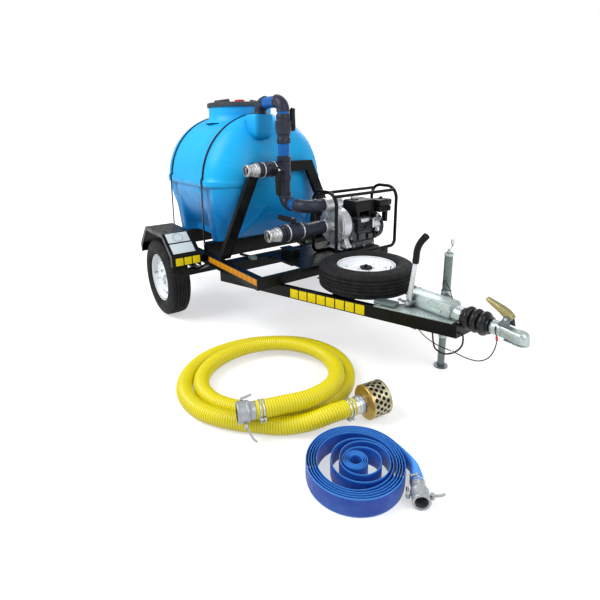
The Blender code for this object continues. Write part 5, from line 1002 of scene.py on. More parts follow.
def make_pipework():
    y = RISER_Y
    nut = valve_wave(20, 1.0, 1.0, 55.5)
    elbow("port_elbow", (PUMP_X, y, PORT_Z), Y, -X, 30)
    elbow("riser_elbow", (RISER_X, y, PORT_Z), X, Z, 20)
    pipe("port_sleeve", (PUMP_X, 18, PORT_Z), (PUMP_X, -45, PORT_Z), 42.5, pvc)
    pipe("cross_pipe", (PUMP_X - 60, y, PORT_Z), (RISER_X + 60, y, PORT_Z))
    pipe("lower_riser", (RISER_X, y, 950), (RISER_X, y, 1060), 41, pvc)
    half = (45.2, 48, 47.8, 51, 48.5, 54, 48.5, 83, 45.5, 85, 36, 85)
    barrel = [value for radius, height in reversed(split(half, 2)) for value in (radius, -height)] + list(half)
    lathe("tee_barrel", pvc, (RISER_X, y, TEE_Z), Z, 64, barrel)
    side = (0, 0, 44.8, 0, 44.8, 48, 46.5, 52, 47.5, 55, 47.5, 83, 45, 84.8, 0, 84.8)
    lathe("tee_side", pvc, (RISER_X, y, TEE_Z), -Y, 64, side)
    branch = (
        36, -46, 43.8, -46, 48.8, -44, 50.8, -40, 50.8, -15, 47.8, -12, 42.8, -11, 45.8, -24, 47.6, -10, 47.6, 10,
        45.8, 24, 42.8, 22.5, 47.8, 23.5, 50.8, 26.5, 50.8, 51.5, 48.8, 55.5, 43.8, 57.5, 36, 57.5,
    )
    lathe("branch_valve_body", pvc, (RISER_X, -262, TEE_Z), -Y, 144, branch, 35, valve_wave(18, 1.2, 0, 48.3))
    clamp_band("branch_band_inner", (RISER_X, -222.5, TEE_Z), Y, 51.2, 7, 2.2)
    clamp_band("branch_band_outer", (RISER_X, -312.5, TEE_Z), Y, 51.2, 7, 2.2)
    camlock("branch_adapter", (RISER_X, ADAPTER_Y, TEE_Z))
    pipe("upper_riser", (RISER_X, y, 1215.3), (RISER_X, y, 1310))
    riser = (
        36, 1300, 44.5, 1300, 47.5, 1302, 48, 1335, 46.5, 1338, 44, 1340, 44, 1358, 49, 1362, 54.5, 1392,
        56, 1398, 56.2, 1444, 54.5, 1449, 47, 1452, 45.5, 1462, 47.8, 1465, 48, 1490, 46, 1493, 40, 1494,
        40, 1505, 36, 1505,
    )
    lathe("riser_valve_body", pvc, (RISER_X, y, 0), Z, 160, riser, 35, nut)
    elbow("return_elbow_near", (RISER_X, y, RETURN_Z), -Z, -X, 6)
    elbow("return_elbow_far", (INLET_X, y, RETURN_Z), X, -Z, 12)
    pipe("return_pipe", (RISER_X - 70, y, RETURN_Z), (INLET_X + 70, y, RETURN_Z))
    pipe("riser_neck", (RISER_X, y, 1494), (RISER_X, y, 1530), 41.2)
    collar = (36, 0, 46.2, 0, 46.5, 2, 46.5, 8, 45, 9.5, 36, 9.5)
    lathe("inlet_collar", pvc, (INLET_X, y, 1505.3), Z, 64, collar)
    line = (
        34, -19.7, 47, -19.7, 48.8, -16, 48.8, 10, 46.5, 13, 46.2, 120, 48.8, 124, 49, 153, 51.5, 155, 55, 157,
        56, 160, 56, 196, 53.5, 199, 50, 201, 51, 228, 51, 244, 50, 272, 53.5, 275, 56, 278, 56, 314, 54.5, 317.5,
        47, 319.5, 34, 319.5,
    )
    lathe("suction_line", pvc, (PUMP_X, 0, PUMP_Z), -Y, 160, line, 35, nut)
    clamp_band("suction_band_inner", (PUMP_X, -178, PUMP_Z), Y, 56.2, 8, 3.6)
    clamp_band("suction_band_outer", (PUMP_X, -290, PUMP_Z), Y, 56.2, 8, 3.6)
    camlock("suction_adapter", (PUMP_X, ADAPTER_Y, PUMP_Z))
    for name, pivot, stem, along, length in (
        ("branch", (RISER_X, HANDLE_Y, TEE_Z), X, -Z, 175),
        ("riser", (RISER_X, y, 1402.5), Y, Z, 135),
        ("suction", (PUMP_X, HANDLE_Y, PUMP_Z), Z, -X, 165),
    ):
        rod(f"{name}_stem_boss", pvc, Vector(pivot) + stem * 30, Vector(pivot) + stem * 56.8, 19.5, 32)
        valve_handle(f"{name}_handle", pivot, stem, along, length, f"{name}_lever")


make_pipework()

# Pump, pump frame and engine


def make_pump():
    centre = Vector((PUMP_X, 0, PUMP_Z))
    volute = (
        113, -112, 131, -112, 133, -114, 133, -122, 131, -124.5, 126.2, -125.5, 125, -128, 125, -176,
        123.5, -184, 118, -194, 108, -201.5, 95, -205, 12.6, -205, 12.6, -193, 93, -193, 113, -178,
    )
    lathe("volute_casing", cast_alloy, centre, -Y, 128, volute, 35)
    port = (
        34, 0, 45.5, 0, 46, 1.5, 46, 24, 44.5, 27, 43.5, 40, 43.5, 120, 45, 135, 43.5, 152, 36, 161, 18, 165, 0, 165,
    )
    lathe("volute_port", cast_alloy, (PUMP_X, 20.5, PORT_Z), Y, 72, port)
    neck = (0, -55, 43, -55, 38.5, -30, 36, -10, 35.5, 20, 0, 20)
    lathe("volute_neck", cast_alloy, (PUMP_X, 158, PORT_Z - 5), Z, 48, neck)
    foot = (
        552, 860, 1000, 130, 190, 560, 860, 1000, 130, 190, 564, 874, 986, 134, 186, 608, 886, 974, 138, 184,
        622, 884, 976, 138, 184,
    )
    slab("volute_foot", cast_alloy, 2.5, foot)
    foot = (
        572, 972, 1044, 140, 196, 584, 970, 1046, 140, 196, 600, 966, 1030, 148, 192, 655, 950, 1000, 152, 188,
    )
    slab("volute_side_foot", cast_alloy, 3, foot)
    rod("volute_side_post", black_plastic, (1008, 168, 525.5), (1008, 168, 574), 10, 20)
    cover = (
        33, -20, 45, -20, 46, -21.5, 46, -46, 44, -49, 43.5, -78, 46, -86, 56, -90.5, 76, -93, 96, -96.5, 112, -99,
        119, -101.5, 126.5, -102, 128.5, -103.5, 129, -110, 128.5, -111.7, 33, -111.7,
    )
    lathe("pump_front_cover", cast_alloy, centre, -Y, 128, cover, 35)
    for i in range(5):
        out = spoke(X, Z, radians(72 * i + 54))
        way = out.cross(Y)
        rows = []
        for reach, high, half in ((44, 52, 4.5), (60, 72, 4.2), (85, 83, 4), (108, 90, 4.5), (113, 99, 5)):
            base = centre + out * reach
            section = ((half, 104), (half * 0.6, high), (-half * 0.6, high), (-half, 104))
            rows.append([base + way * across + Y * back for across, back in section])
        finish(f"cover_rib_{i}", grid(rows), cast_alloy, 30, 1.2)
    for i in (0, 3, 4, 5, 6, 7):
        bolt(f"cover_bolt_{i}", centre + spoke(X, Z, 2 * pi * (i + 0.5) / 8) * 120.5 + Y * 101.8, -Y)
    for i in range(4):
        bolt(f"port_bolt_{i}", centre + spoke(X, Z, 2 * pi * (i + 0.5) / 4) * 124.5 + Y * 121.5, -Y, 4)


def arc(centre, first, second, radius):
    """A quarter turn about centre, from its first direction to its second."""
    return [centre + spoke(first, second, pi / 2 * i / 12) * radius for i in range(13)]


def make_pump_frame():
    foot, top, bend, heel = 512.8, 968, 90, 45
    back, front, middle = 775, 1030, 364
    radius = 12.5
    for y, inward, name in ((60, Y, "near"), (668, -Y, "far")):
        rise = inward * heel + Z * heel
        points = [Vector((front, middle, foot))]
        points += arc(Vector((front, y, foot)) + rise, -Z, -inward, heel)
        points += arc(Vector((front - bend, y, top - bend)), X, Z, bend)
        points += arc(Vector((back + bend, y, top - bend)), Z, -X, bend)
        points += arc(Vector((back, y, foot)) + rise, -inward, -Z, heel)
        points.append(Vector((back, middle, foot)))
        tube(f"frame_loop_{name}", tube_paint, points, radius, 20)
    drop = bend * 0.28
    for name, x in (("front", front - drop), ("back", back + drop)):
        rod(f"frame_rail_{name}", tube_paint, (x, 55, top - drop), (x, 673, top - drop), radius * 0.96, 20, 0.1)
    for y, end in ((170, "near"), (540, "far")):
        for x, way in ((back, "back"), (front, "front")):
            at = (x, y, foot - radius + 6)
            lathe(f"frame_mount_{end}_{way}", rubber, at, Z, 24, (0, 4, 16, 4, 18, 2, 18, -10, 0, -10))


def make_engine():
    blocks(
        engine_metal,
        ("crankcase", 14, 853, 205.3, 585, 992, 495, 735),
        ("engine_sump", 10, 845, 235, 526.5, 1000, 475, 590),
        ("cylinder_core", 8, 950, 285, 655, 1016, 405, 770),
        ("muffler", 18, 785, 290, 765, 844, 450, 850),
        ("exhaust_elbow", 10, 832, 345, 740, 868, 395, 785),
        ("coil_plate", 4, 992, 302, 598, 1006, 372, 650),
        ("oil_sensor", 6, 992, 392, 600, 1014, 440, 640),
        *((f"case_rib_{i}", 1, 991, 235 + 52 * i, 650, 1000, 239 + 52 * i, 728) for i in range(5)),
        *(
            (f"cooling_fin_{i}", 1.5, 940, 272, 667 + 11.5 * i, 1030 - 1.5 * abs(i - 4), 418, 671.2 + 11.5 * i)
            for i in range(9)
        ),
    )
    blocks(
        engine_black,
        ("engine_base_plate", 3, 762.5, 230, 525.8, 1042.5, 480, 545),
        ("cooling_shroud", 16, 838, 455, 590, 1012, 494, 780),
        *((f"muffler_guard_{i}", 1, 777.5, 292 + 18.5 * i, 757, 780.5, 303 + 18.5 * i, 858) for i in range(9)),
        *((f"muffler_rail_{z}", 1.5, 776.5, 285, z, 844.7, 455, z + 5) for z in (757, 853)),
        ("fuel_tank_body", 19, 851, 276, 803, 999, 474, 892.5),
        ("fuel_tank_seam", 2, 847.5, 272.5, 826, 1002.5, 474.7, 831),
        *((f"fuel_bracket_{y}", 2, 865, y - 12, 752, 985, y + 12, 805.5) for y in (315, 435)),
        ("air_cleaner_lid", 14, 926.5, 477, 836, 1043.5, 608.5, 884.5),
        ("air_cleaner_base", 8, 931.5, 480, 791.5, 1038.5, 605, 834.5),
        *((f"air_cleaner_rib_{i}", 1.2, 924, 492 + 24 * i, 798, 1045.5, 496 + 24 * i, 831) for i in range(5)),
        ("air_snorkel", 7, 970.5, 575.5, 705.5, 1009.5, 604.5, 797),
    )
    blocks(
        bright_alloy,
        ("valve_cover", 8, 948, 300, 735, 1030, 390, 765),
        ("carburettor_body", 6, 1002, 422, 690, 1040, 492, 742),
    )
    blocks(
        bright_zinc,
        ("throttle_plate", 0.8, 1000.5, 428, 742, 1052, 486, 744.8),
        ("governor_plate", 0.8, 1000.5, 395, 752, 1050, 500, 754.5),
        ("governor_arm", 0.8, 1046, 400, 690, 1048.5, 412, 756),
    )
    rod("carburettor_bowl", bright_alloy, (1027, 465, 654.5), (1027, 465, 694), 20.5, 40, 0.2)
    rods(
        bright_alloy,
        ("carburettor_throat", 19, 32, 1021, 405, 717, 1021, 493.5, 717),
        ("fuel_tap", 9, 20, 1030, 463, 758, 1030, 463, 784),
    )
    rods(
        bright_zinc,
        ("throttle_rod", 1.6, 10, 1046, 400, 748, 1046, 484, 739),
        ("governor_rod", 1.3, 8, 1052, 404, 758.5, 1052, 492, 752),
        ("drain_plug", 11, 6, 1000, 352, 556, 1016, 352, 552),
    )
    rods(
        black_plastic,
        ("choke_lever", 2.2, 10, 1048, 475, 742, 1054, 490.5, 700),
        ("oil_filler", 12, 20, 997, 235, 600, 1012, 235, 606),
    )
    rods(
        brass,
        ("bowl_screw", 5, 6, 1027, 465, 654.5, 1027, 465, 648),
        ("fuel_tap_lever", 3, 12, 1036, 463, 771, 1052, 448, 769),
    )
    rod("spark_plug", rubber, (1022, 345, 700), (1040, 345, 706), 8, 20)
    boss = (13, 0, 52, 0, 55, 3, 55, 14, 48, 22, 48, 70, 0, 70)
    lathe("shaft_boss", engine_metal, (PUMP_X, 205.6, PUMP_Z), Y, 64, boss)
    for i in range(4):
        bolt(f"boss_bolt_{i}", Vector((PUMP_X, 208.5, PUMP_Z)) + spoke(X, Z, pi / 4 + pi / 2 * i) * 46, -Y, 3.5)
    recoil = [105, -20, 105, 28, 103, 36, 96, 42]
    for i in range(8):
        inner, high = 90 - 8.5 * i, 42.5 + 2.8 * i
        recoil += [inner, high + 3, inner - 1, high, inner - 4.5, high, inner - 5.5, high + 4.5]
    recoil += [18, 69, 12, 70, 0, 70]
    lathe("recoil_cover", engine_black, (PUMP_X, 500, 680), Y, 72, recoil, 30)
    for i in range(3):
        bolt(f"recoil_bolt_{i}", Vector((PUMP_X, 538.5, 680)) + spoke(X, Z, radians(100 + 120 * i)) * 97, Y, 4)

    def knurl(angle, r, height):
        return -0.5 - 0.5 * cos(24 * angle) if r > 27.5 else 0.0

    cap = (0, 21.5, 18, 21.5, 23.5, 20.5, 27, 17, 28, 15, 28, 3, 26.5, 0, 0, 0)
    lathe("fuel_cap_cover", bright_alloy, (920, 335, 893.3), Z, 120, cap, wave=knurl, body="filler_cap")
    knob = (0, 19.5, 6, 19.5, 7.5, 18, 7.5, 12, 14, 10, 14, 2, 11, 0, 0, 0)
    lathe("air_cleaner_knob", engine_black, (985, 545, 884.5), Z, 8, knob, 25)
    for i, (y, z) in enumerate(((432, 700), (432, 732), (482, 700), (482, 732))):
        bolt(f"carburettor_screw_{i}", (1039.5, y, z), X, 3)
    for i, at in enumerate(((1000, 260, 560), (1000, 450, 560), (992.5, 240, 620), (992.5, 240, 700))):
        bolt(f"case_bolt_{i}", at, X)
    spring = [Vector((1046, 410 + 0.6 * i, 762.5)) + spoke(X, Z, 2 * pi * i / 9) * 3.5 for i in range(90)]
    tube("governor_spring", bright_zinc, spring, 0.8, 8)
    line = smooth_path(4, (985, 440, 806, 1006, 447, 790, 1030, 462, 772, 1040, 482, 740, 1038, 492, 712))
    tube("fuel_hose", rubber, line, 4.8, 16)
    lead = []
    for i in range(25):
        t = i / 24
        x, z = 1038 + 8 * sin(pi * t) - 30 * t, 706 + 60 * sin(pi * t * 0.6) - 20 * t
        lead.append(Vector((x, 345 + 130 * t, z)))
    tube("spark_lead", rubber, lead, 3.2, 12)
    x, z = PUMP_X + 5, 700
    grip = (0, 30, 7, 30, 10.5, 28, 12, 24, 11.5, 18, 8.5, 13, 8, 6, 9.8, 1, 9.5, 0, 0, 0)
    lathe("starter_handle", engine_black, (x, 570.3, z), Y, 32, grip, body="starter")
    points = [Vector((x, 530 + 1.5 * i, z)) for i in range(31)]
    rope = tube("starter_rope", rubber, points, 1.8, 10, body=None)
    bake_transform(rope)


make_pump()
make_pump_frame()
make_engine()

# Plates and reflective tape


def plate(name, material, thick, corner, along, up, width, height):
    """A thin plate on a face: a corner of it, two directions in the face and its size."""
    corner, out = Vector(corner), along.cross(up)
    ring = (corner, corner + along * width, corner + along * width + up * height, corner + up * height)
    finish(name, grid([[point + out * level for point in ring] for level in (0, thick)]), material, 30, 0.6)


def make_markings():
    low, high, count = 350, 1030, 11
    step = (high - low) / count
    plate("rail_tape_back", frame_paint, 0.6, (low - 4, -590.1, 452.5), X, Z, high - low + 8, 45.5)
    for i in range(count):
        plate(f"rail_tape_{i}", tape_orange, 0.9, (low + step * i + 1.6, -590.5, 454.5), X, Z, step - 3.2, 41.5)
    slope = (592 - 73) / 1550
    along = Vector((1, slope, 0)).normalized()
    start = Vector((1112, slope * (1112 - 530) - 592, 361)) + Vector((slope, -1, 0)).normalized() * 0.6
    for i in range(8):
        plate(f"beam_tape_{i}", tape_yellow, 1, start + along * (65.5 * i), along, Z, 57.5, 57.5)
    for i in range(3):
        plate(f"flap_tape_{i}", tape_yellow, 1, (346.2, -838 + 63 * i, 466), Y, Z, 55, 55)
    down = Vector((163, 0, -134)).normalized()
    normal = Vector((134, 0, 163)).normalized()

    def on_slope(reach, y, lift):
        return Vector((183, y, 674)) + down * reach + normal * (0.6 + lift)

    plate("guard_plate_upper", white_plate, 1.6, on_slope(93, -845, 0), Y, -down, 162, 87)
    plate("guard_plate_lower", white_plate, 1.6, on_slope(193, -845, 0), Y, -down, 165, 88)
    ring = (33.5, 0, 33.5, 1.2, 34.5, 2.2, 37.5, 2.2, 38.5, 1.2, 38.5, 0)
    lathe("guard_plate_ring", grey_ink, on_slope(50, -764, 1.4), normal, 64, ring)
    rivets = ((14, -836), (14, -692), (114, -836), (114, -690), (184, -836), (184, -690))
    for i, (reach, y) in enumerate(rivets):
        at = on_slope(reach, y, 1.5)
        lathe(f"guard_rivet_{i}", bright_zinc, at, normal, 16, (0, 1.8, 2.2, 1.4, 3.2, 0, 0, 0))


make_markings()

# Fittings of the hoses


def make_hose_fittings():
    first, last = hose_points[0], hose_points[-1]
    axis = (first - hose_points[4]).normalized()
    ahead = (last - hose_points[-5]).normalized()
    for name, end, way, reach, bolt_turn in (
        ("coupler_band_a", first, axis, 20, 2.6), ("coupler_band_b", first, axis, 36, 2.6),
        ("strainer_band_a", last, ahead, 18, 1.2), ("strainer_band_b", last, ahead, 36, 1.2),
    ):
        clamp_band(name, end - way * reach, way, HOSE_RADIUS + 0.5, 8, bolt_turn)
    profile = (
        42, 85, 43.5, 85, 51, 85, 52, 83.5, 52, 75, 50.2, 73, 50.2, 42.5, 52, 39.95, 51.5, 35.7, 44.6, 25.5,
        41.6, 22.95, 41.6, 4, 40.6, 0, 29.6, 0, 29.6, 28.9, 42, 37.4, 42, 51, 43.5, 52.7, 42, 54.4,
    )
    coupler = lathe("suction_coupler", coupler_cast, first + axis * 0.3, axis, 96, profile, 35)
    at = last + ahead * 0.3
    profile = (
        0, 172, 79, 172, 84, 171, 85, 168, 85, 160, 84, 159, 84, 75, 85, 74, 85, 65, 82, 62, 60, 58, 46, 53,
        45.5, 50, 45, 50, 0, 50,
    )
    can = lathe("strainer_can", strainer_metal, at, ahead, 96, profile, 30)
    direction, across, other = frame_along(ahead)
    origin = Vector(metres(at))
    values = []
    for vertex in can.data.vertices:
        values += [(vertex.co - origin).dot(way) for way in (across, other, direction)]
    can.data.attributes.new("can", "FLOAT_VECTOR", "POINT").data.foreach_set("vector", values)
    profile = (
        45.5, 48, 45, 49.5, 41, 50, 41, 40, 44.5, 39, 45, 37, 44.5, 35, 41, 34, 41, 28, 44, 26, 44, 18, 41, 16,
        40, 0, 0, 0, 0, 48,
    )
    spigot = lathe("strainer_spigot", bright_zinc, at, ahead, 72, profile, 35)
    end = tail_start() + Vector(TAIL_SECTIONS[-1][:3])
    profile = (
        26, 86, 35, 86, 36, 84.5, 36, 77, 34.5, 75, 34.5, 44.72, 36, 42.14, 36, 36.12, 30.8, 25.8, 28.8, 24.08,
        28.8, 0, 16.8, 0, 16.8, 29.24, 26, 37.84,
    )
    lathe("layflat_coupler_body", coupler_cast, end + TAIL_WAY * 0.3, TAIL_WAY, 80, profile, 35)
    clamp_band("layflat_band", end - TAIL_WAY * 12, TAIL_WAY, 27.5, 10, 5.1)


make_hose_fittings()

# Coupling, jockey stand and brake

DRAW_Z = 455


def make_bellows():
    rear, forward = 2075.3, 2221.7
    total = forward - rear
    lobe = (total - 24) / 3
    profile = [25.6, 0, 44.5, 0, 45, 1.5, 45, 10, 43, 11.5]
    for i in range(3):
        base = 12 + lobe * i
        for j in range(1, 16):
            profile += [43.5 + 18.5 * sin(pi * j / 16) ** 0.55, base + lobe * j / 16]
        profile += [43.5, base + lobe]
    profile += [43, total - 11.5, 45, total - 10, 45, total - 1.5, 44.5, total, 25.6, total]
    boot = lathe("bellows_boot", gloss_rubber, (rear, 0, DRAW_Z), X, 72, profile, 60, body=None)
    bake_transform(boot)
    stand_in(boot)


def make_head():
    body = "towing_head"
    shaft = (
        0, 1931, 23.5, 1931, 25, 1933, 25, 2226, 33, 2228, 35.5, 2232, 36, 2262, 34, 2276, 29, 2281, 0, 2281,
    )
    lathe("draw_shaft", galvanised, (0, 0, DRAW_Z), X, 64, shaft, 35, body=body)
    rows = []
    for x, half, low, high in (
        (2240, 24, 430, 479), (2262, 26.2, 426, 486), (2290, 27.2, 423, 486), (2318, 28, 421, 480.5),
        (2336, 30.5, 419.5, 479), (2350, 33.5, 418.5, 480.5), (2362, 35, 418, 481.5), (2374, 35, 418, 481),
        (2385, 32.5, 418, 478), (2394, 27.5, 418, 471), (2400, 20.5, 418.2, 461), (2403.5, 10, 419, 447),
    ):
        row = []
        for k in range(40):
            turn = 2 * pi * k / 40
            power = 2.6 if sin(turn) > 0 else 6.0
            reach = (abs(cos(turn)) ** power + abs(sin(turn)) ** power) ** (-1 / power)
            z = (low + high) / 2 + (high - low) / 2 * reach * sin(turn)
            row.append(Vector((x, half * reach * cos(turn), z)))
        rows.append(row)
    head = finish("head_shell", grid(rows), galvanised, 50, body=body)
    ball = (0, 50, 12, 48, 20, 40, 24.5, 28, 25.5, 12, 25.5, -20, 0, -20)
    apply_cutters(head, [lathe("head_cutter", galvanised, (2371, 0, 417), Z, 40, ball, body=body)])
    lip = ((2300, 30), (2340, 33.5), (2360, 36.2), (2376, 36.2), (2390, 31.8), (2399, 24), (2404, 11))
    outline = [*lip, *((x, -half) for x, half in reversed(lip))]
    inner = [(2371 + (x - 2371) * 0.74, y * 0.74) for x, y in outline]
    levels = ((417.2, outline), (421.5, outline), (421.5, inner), (417.2, inner))
    rows = [[Vector((x, y, z)) for x, y in points] for z, points in levels]
    finish("head_lip", grid(rows, closed=True), galvanised, 30, 0.8, body)
    collar = (26, 0, 34.5, 0, 36.5, 1.5, 36.5, 10, 35, 12, 26, 12)
    lathe("head_collar", galvanised, (2238, 0, DRAW_Z), X, 56, collar, 35, body=body)


def make_latch():
    """The pressed handle of the coupling's catch, with its cheeks on the head."""
    x, z = 2300, 522
    rows = []
    stations = (
        (2316, 522, 20, -12, 16), (2304, 534, 20.5, -18, 17), (2290, 547, 20.5, -19, 15), (2272, 558, 19.5, -18, 12),
        (2248, 568, 18, -16, 10), (2222, 577, 16, -13, 8.5), (2200, 585, 14, -10, 7.5), (2189, 590, 11, -6, 6),
    )
    path = [Vector((station[0], 0, station[1])) for station in stations]
    for i, (half, low, high) in enumerate(station[2:] for station in stations):
        up = way_at(path, i).cross(-Y)
        inner = half - 3
        side = [(half - 5, high), (half, high - 5), (half, low), (inner, low), (inner, high - 8)]
        section = [(-half, low), (-half, high - 5), (5 - half, high), *side, (-inner, high - 8), (-inner, low)]
        rows.append([path[i] + up * rise + Y * y for y, rise in section])
    finish("latch_grip", grid(rows), yellow_zinc, 30, 0.6, "latch")
    hub = (0, -21.8, 10, -21.8, 16.5, -20, 17, -18, 17, 18, 16.5, 20, 10, 21.8, 0, 21.8)
    lathe("latch_hub", dull_zinc, (x, 0, z), Y, 40, hub, body="latch")
    block("latch_tongue", dull_zinc, 1, (2295.5, -5, 486.8, 2304.5, 5, 512), "latch")
    for side, name in ((-1, "near"), (1, "far")):
        sections = []
        for level, low, high in ((482, 2266, 2326), (500, 2272, 2322), (522, 2286, 2316), (536, 2294, 2308)):
            sections += [level, low, high, side * 22.2, side * 25.2]
        slab(f"head_cheek_{name}", dull_zinc, 1, sections, "towing_head")
        bolt(f"head_pin_{name}", (x, side * 22.2, z), Y * side, 7.5, "latch")


def make_handbrake():
    body, x, y = "handbrake", 1785, -78
    points = smooth_path(3, (1816.1, y, 690, 1819, y, 720, 1823, y, 765, 1841, y, 808, 1877, y, 852))
    last = len(points) - 1

    def radius_at(i, angle):
        share = i / last
        ridged = smoothstep(0.25, 0.35, share) * (1 - smoothstep(0.85, 0.95, share))
        ends = min(1.0, share / 0.02 + 0.80, (1 - share) / 0.03 + 0.45)
        return (17.8 + 1.2 * smoothstep(0.7, 1.0, share) + 0.6 * sin(share * 2 * pi * 11) * ridged) * ends

    finish("handbrake_grip", grid(tube_rows(points, radius_at, 32)), black_plastic, 50, body=body)
    bar = (
        455, 1768.5, 1801.5, -83.5, -72.5, 480, 1773.5, 1803.5, -83.5, -72.5, 545, 1783.5, 1810.5, -83.5, -72.5,
        620, 1794, 1819, -83.5, -72.5, 694, 1804.2, 1828.2, -83.5, -72.5,
    )
    slab("handbrake_bar", bright_zinc, 2.2, bar, body)
    hub = (0, 55.5, 19, 55.5, 21.5, 58, 21.5, 68, 19.5, 71, 19.5, 87, 18, 89.5, 0, 89.5)
    lathe("handbrake_hub", dull_zinc, (x, 0, DRAW_Z), -Y, 48, hub, body=body)
    bolt("handbrake_nut", (x, -89.8, DRAW_Z), -Y, 10)


def make_wires():
    route = [
        1880, -115, 352, 1934, -112, 318, 2012, -112, 302, 2101, -115, 305, 2170, -115, 302, 2233, -110, 310,
        2275, -100, 340, 2294, -88, 385, 2292, -70, 430, 2272, -52, 458,
    ]
    for angle in (172, 163, 154, 145):
        route += [2262, 38.8 * cos(radians(angle)), DRAW_Z + 38.8 * sin(radians(angle))]
    path = smooth_path(5, route)
    tube("breakaway_wire", rubber, path, 2.5, 14)
    for name, low, high, radius, material in (
        ("sleeve", 0.86, 0.895, 5.6, red_cap), ("crimp", 0.375, 0.395, 6, bright_zinc),
    ):
        part = path[int(low * len(path)) : int(high * len(path)) + 1]
        tube(f"breakaway_{name}", material, part, radius, 20)
    route = (
        1965, -98, 350.9, 1974, -98, 300, 1990, -96, 266, 2041, -90, 258, 2095, -82, 290, 2122, -72, 335,
        2114, -60, 380, 2087.3, -55, 383,
    )
    tube("electric_lead", rubber, smooth_path(5, route), 4.2, 14)
    route = (
        1832, 158, 520, 1842, 150, 548, 1872, 128, 556, 1930, 80, 536, 1985, 30, 512, 2004, 10, 500,
    )
    tube("jockey_wire", rubber, smooth_path(5, route), 2.2, 12)


def make_jockey_details():
    at = Vector((1842, 183, 0))
    sleeve = (
        23.6, 396, 28.2, 396, 29, 398, 29, 404, 27.8, 406, 27.8, 474, 29, 476, 29, 483, 28.2, 485, 23.6, 485,
    )
    lathe("jockey_sleeve", bright_zinc, at, Z, 64, sleeve, 35)
    out, bar = Vector((0.8, -0.6, 0)), Vector((0.6, 0.8, 0))
    seat = at + Z * 440
    rod("jockey_clamp_screw", bright_zinc, seat + out * 27, seat + out * 62, 5.5, 20)
    seat += out * 56
    rod("jockey_clamp_bar", bright_zinc, seat - bar * 24, seat + bar * 24, 3.5, 16)
    for name, y in (("a", 159.8), ("b", 206.2)):
        block(f"jockey_seam_{name}", dull_zinc, 0.6, (1840.5, y - 1.2, 495, 1843.5, y + 1.2, 685))
    collar = (20.8, 190.5, 23.2, 190.5, 25, 192, 25, 210, 24, 212, 23.6, 213)
    lathe("jockey_lower_collar", galvanised, at, Z, 48, collar, 35)
    cap = (23.6, 690, 25.2, 691, 25.6, 694, 25.6, 704, 24.5, 706.8, 10, 707, 0, 707)
    lathe("jockey_top_cap", galvanised, at, Z, 48, cap, 35)


def make_coupling_details():
    for i, (x, y) in enumerate(((1690, -36), (1690, 36), (1718, -40), (1718, 40))):
        bolt(f"coupling_bolt_{i}", (x, y, 430.5), Z, 9.5)
    for side, name in ((-1, "a"), (1, "b")):
        for i, x in enumerate((1800, 1970)):
            bolt(f"coupling_side_bolt_{i}_{name}", (x, side * 54.8, 462), Y * side, 7.5)
    blocks(
        frame_paint,
        ("valve_support", 6, 668, -160, 442, 802, -85, 552),
        ("valve_support_cap", 2, 662, -166, 552, 808, -79, 560),
    )
    block("rail_catch", dull_zinc, 4, (600, -400, 498, 652, -356, 524))
    rod("rail_catch_pin", frame_paint, (480, -395, 508), (606, -378, 512), 10, 20)
    block("coupling_lug_near", dull_zinc, 9, (1620, -180, 431.2, 1750, -112, 452), degrees_round=18.5)
    block("coupling_lug_far", dull_zinc, 12, (1655, 88, 431.2, 1790, 150, 462), degrees_round=-18.5)
    block("brake_bracket", yellow_zinc, 2, (1832, -114, 334, 1868, -96, 354.5))
    rods(
        dull_zinc,
        ("brake_rod", 5, 16, 950, -45, 372, 1800, -45, 395),
        ("brake_turnbuckle", 9, 6, 1300, -45, 381.5, 1420, -45, 384.7),
    )


make_bellows()
make_head()
make_latch()
make_handbrake()
make_wires()
make_jockey_details()
make_coupling_details()

# Finishes of the solids that stay as they are

FINISHES = {
    frame_paint: (
        "chassis_frame", "drawbar_beam_right", "drawbar_beam_left", "axle_beam", "leaf_spring_right",
        "leaf_spring_left", "spare_carrier", "fender_right", "fender_left", "tank_brace",
    ),
    galvanised: ("coupling_housing",),
    dull_zinc: ("jockey_tube", "jockey_leg"),
    bright_zinc: ("jockey_crank",),
    coupler_cast: ("hose_coupler_arm_a", "hose_coupler_arm_b", "layflat_coupler_arm_a", "layflat_coupler_arm_b"),
    engine_metal: ("impeller_shaft",),
}


def smooth_group():
    """Joins the facets of a solid and shades its round faces smooth."""
    tree = bpy.data.node_groups.new("smooth_facets", "GeometryNodeTree")
    for way in ("INPUT", "OUTPUT"):
        tree.interface.new_socket("Geometry", in_out=way, socket_type="NodeSocketGeometry")
    start = add_node(tree, "NodeGroupInput").outputs[0]
    merged = add_node(tree, "GeometryNodeMergeByDistance", {"Geometry": start, "Distance": 0.00002}).outputs[0]
    soft = add_node(tree, "GeometryNodeSetShadeSmooth", {"Geometry": merged}, domain="FACE").outputs[0]
    angle = add_node(tree, "GeometryNodeInputMeshEdgeAngle").outputs["Unsigned Angle"]
    over = add_node(tree, "ShaderNodeMath", {0: angle, 1: 0.6}, operation="GREATER_THAN").outputs[0]
    edges = {"Geometry": soft, "Selection": over, "Shade Smooth": False}
    sharp = add_node(tree, "GeometryNodeSetShadeSmooth", edges, domain="EDGE").outputs[0]
    add_node(tree, "NodeGroupOutput", {0: sharp})
    return tree


def dress_solids():
    group = smooth_group()
    for material, names in FINISHES.items():
        for name in names:
            data = NODES[name].data
            NODES[name].modifiers.new("smooth", "NODES").node_group = group
            if not data.materials:
                data.materials.append(material)
            for i in range(len(data.materials)):
                data.materials[i] = material


dress_solids()

# Floor, background and light, in metres

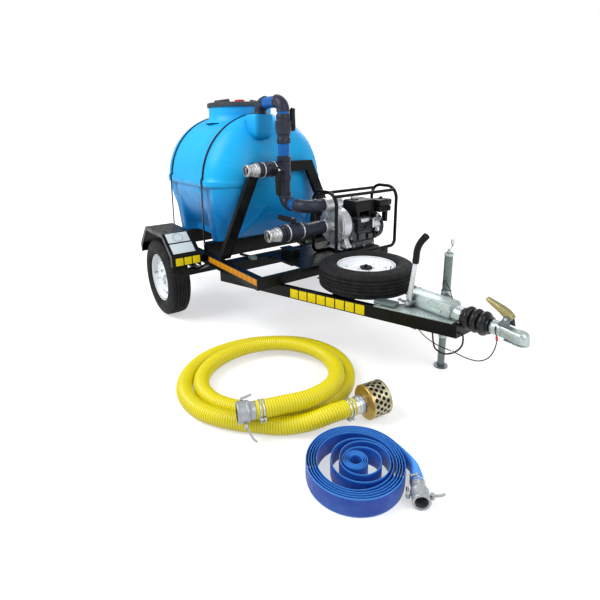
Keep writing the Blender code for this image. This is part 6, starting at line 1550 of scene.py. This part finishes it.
WORLD_LIGHT = 0.56
FLOOR_HALF, FLOOR_Z = 40, -0.0006
LAMPS = (
    ("key", 300, 3.5, (-1.5, -4.5, 5.0), (-0.2, 0, 0.6)),
    ("fill", 120, 4.0, (4.5, 0.5, 3.5), (0, 0, 0.5)),
    ("back", 110, 3.0, (-3.0, 4.0, 4.0), (-0.3, 0, 0.8)),
)


def make_floor():
    s = Shader("studio_floor", 0.9, Specular_IOR_Level=0.1, Emission_Color=(1, 1, 1, 1))
    tone = s.mix(s.drift(0.6, 0.0, 1.0, 3.0), (0.56, 0.56, 0.56, 1.0), (0.58, 0.58, 0.58, 1.0))
    path = s.add("LightPath")
    seen = s.math("MAXIMUM", path["Is Camera Ray"], path["Is Glossy Ray"])
    x, y, _ = s.add("SeparateXYZ", {0: s.place})
    glow = s.times(seen, s.span(s.reach(x, y), 2.2, 5.0, 0.52, 1.0))
    s.tree.links.new(glow, s.bsdf.inputs["Emission Strength"])
    material = s.done(tone)
    corners = [(x * FLOOR_HALF, y * FLOOR_HALF, FLOOR_Z) for x, y in ((-1, -1), (1, -1), (1, 1), (-1, 1))]
    data = bpy.data.meshes.new("floor")
    data.from_pydata(corners, [], [(0, 1, 2, 3)])
    data.materials.append(material)
    link(bpy.data.objects.new("floor", data))


def make_light():
    world = bpy.data.worlds.new("studio")
    bpy.context.scene.world = world
    world.use_nodes = True
    tree = world.node_tree
    path = add_node(tree, "ShaderNodeLightPath").outputs
    rays = {0: path["Is Camera Ray"], 1: path["Is Transmission Ray"]}
    seen = add_node(tree, "ShaderNodeMath", rays, operation="MAXIMUM").outputs[0]
    level = add_node(tree, "ShaderNodeMapRange", {"Value": seen, "To Min": WORLD_LIGHT, "To Max": 1.0})
    background = tree.nodes["Background"]
    background.inputs["Color"].default_value = (1, 1, 1, 1)
    tree.links.new(level.outputs[0], background.inputs["Strength"])
    for name, energy, across, at, aim in LAMPS:
        data = bpy.data.lights.new(name, "AREA")
        data.energy = energy
        data.size = across
        lamp = link(bpy.data.objects.new(name, data))
        lamp.location = at
        lamp.rotation_euler = (Vector(aim) - Vector(at)).to_track_quat("-Z", "Y").to_euler()


make_floor()
make_light()
bpy.context.scene.view_settings.view_transform = "Standard"

bpy.context.view_layer.update()
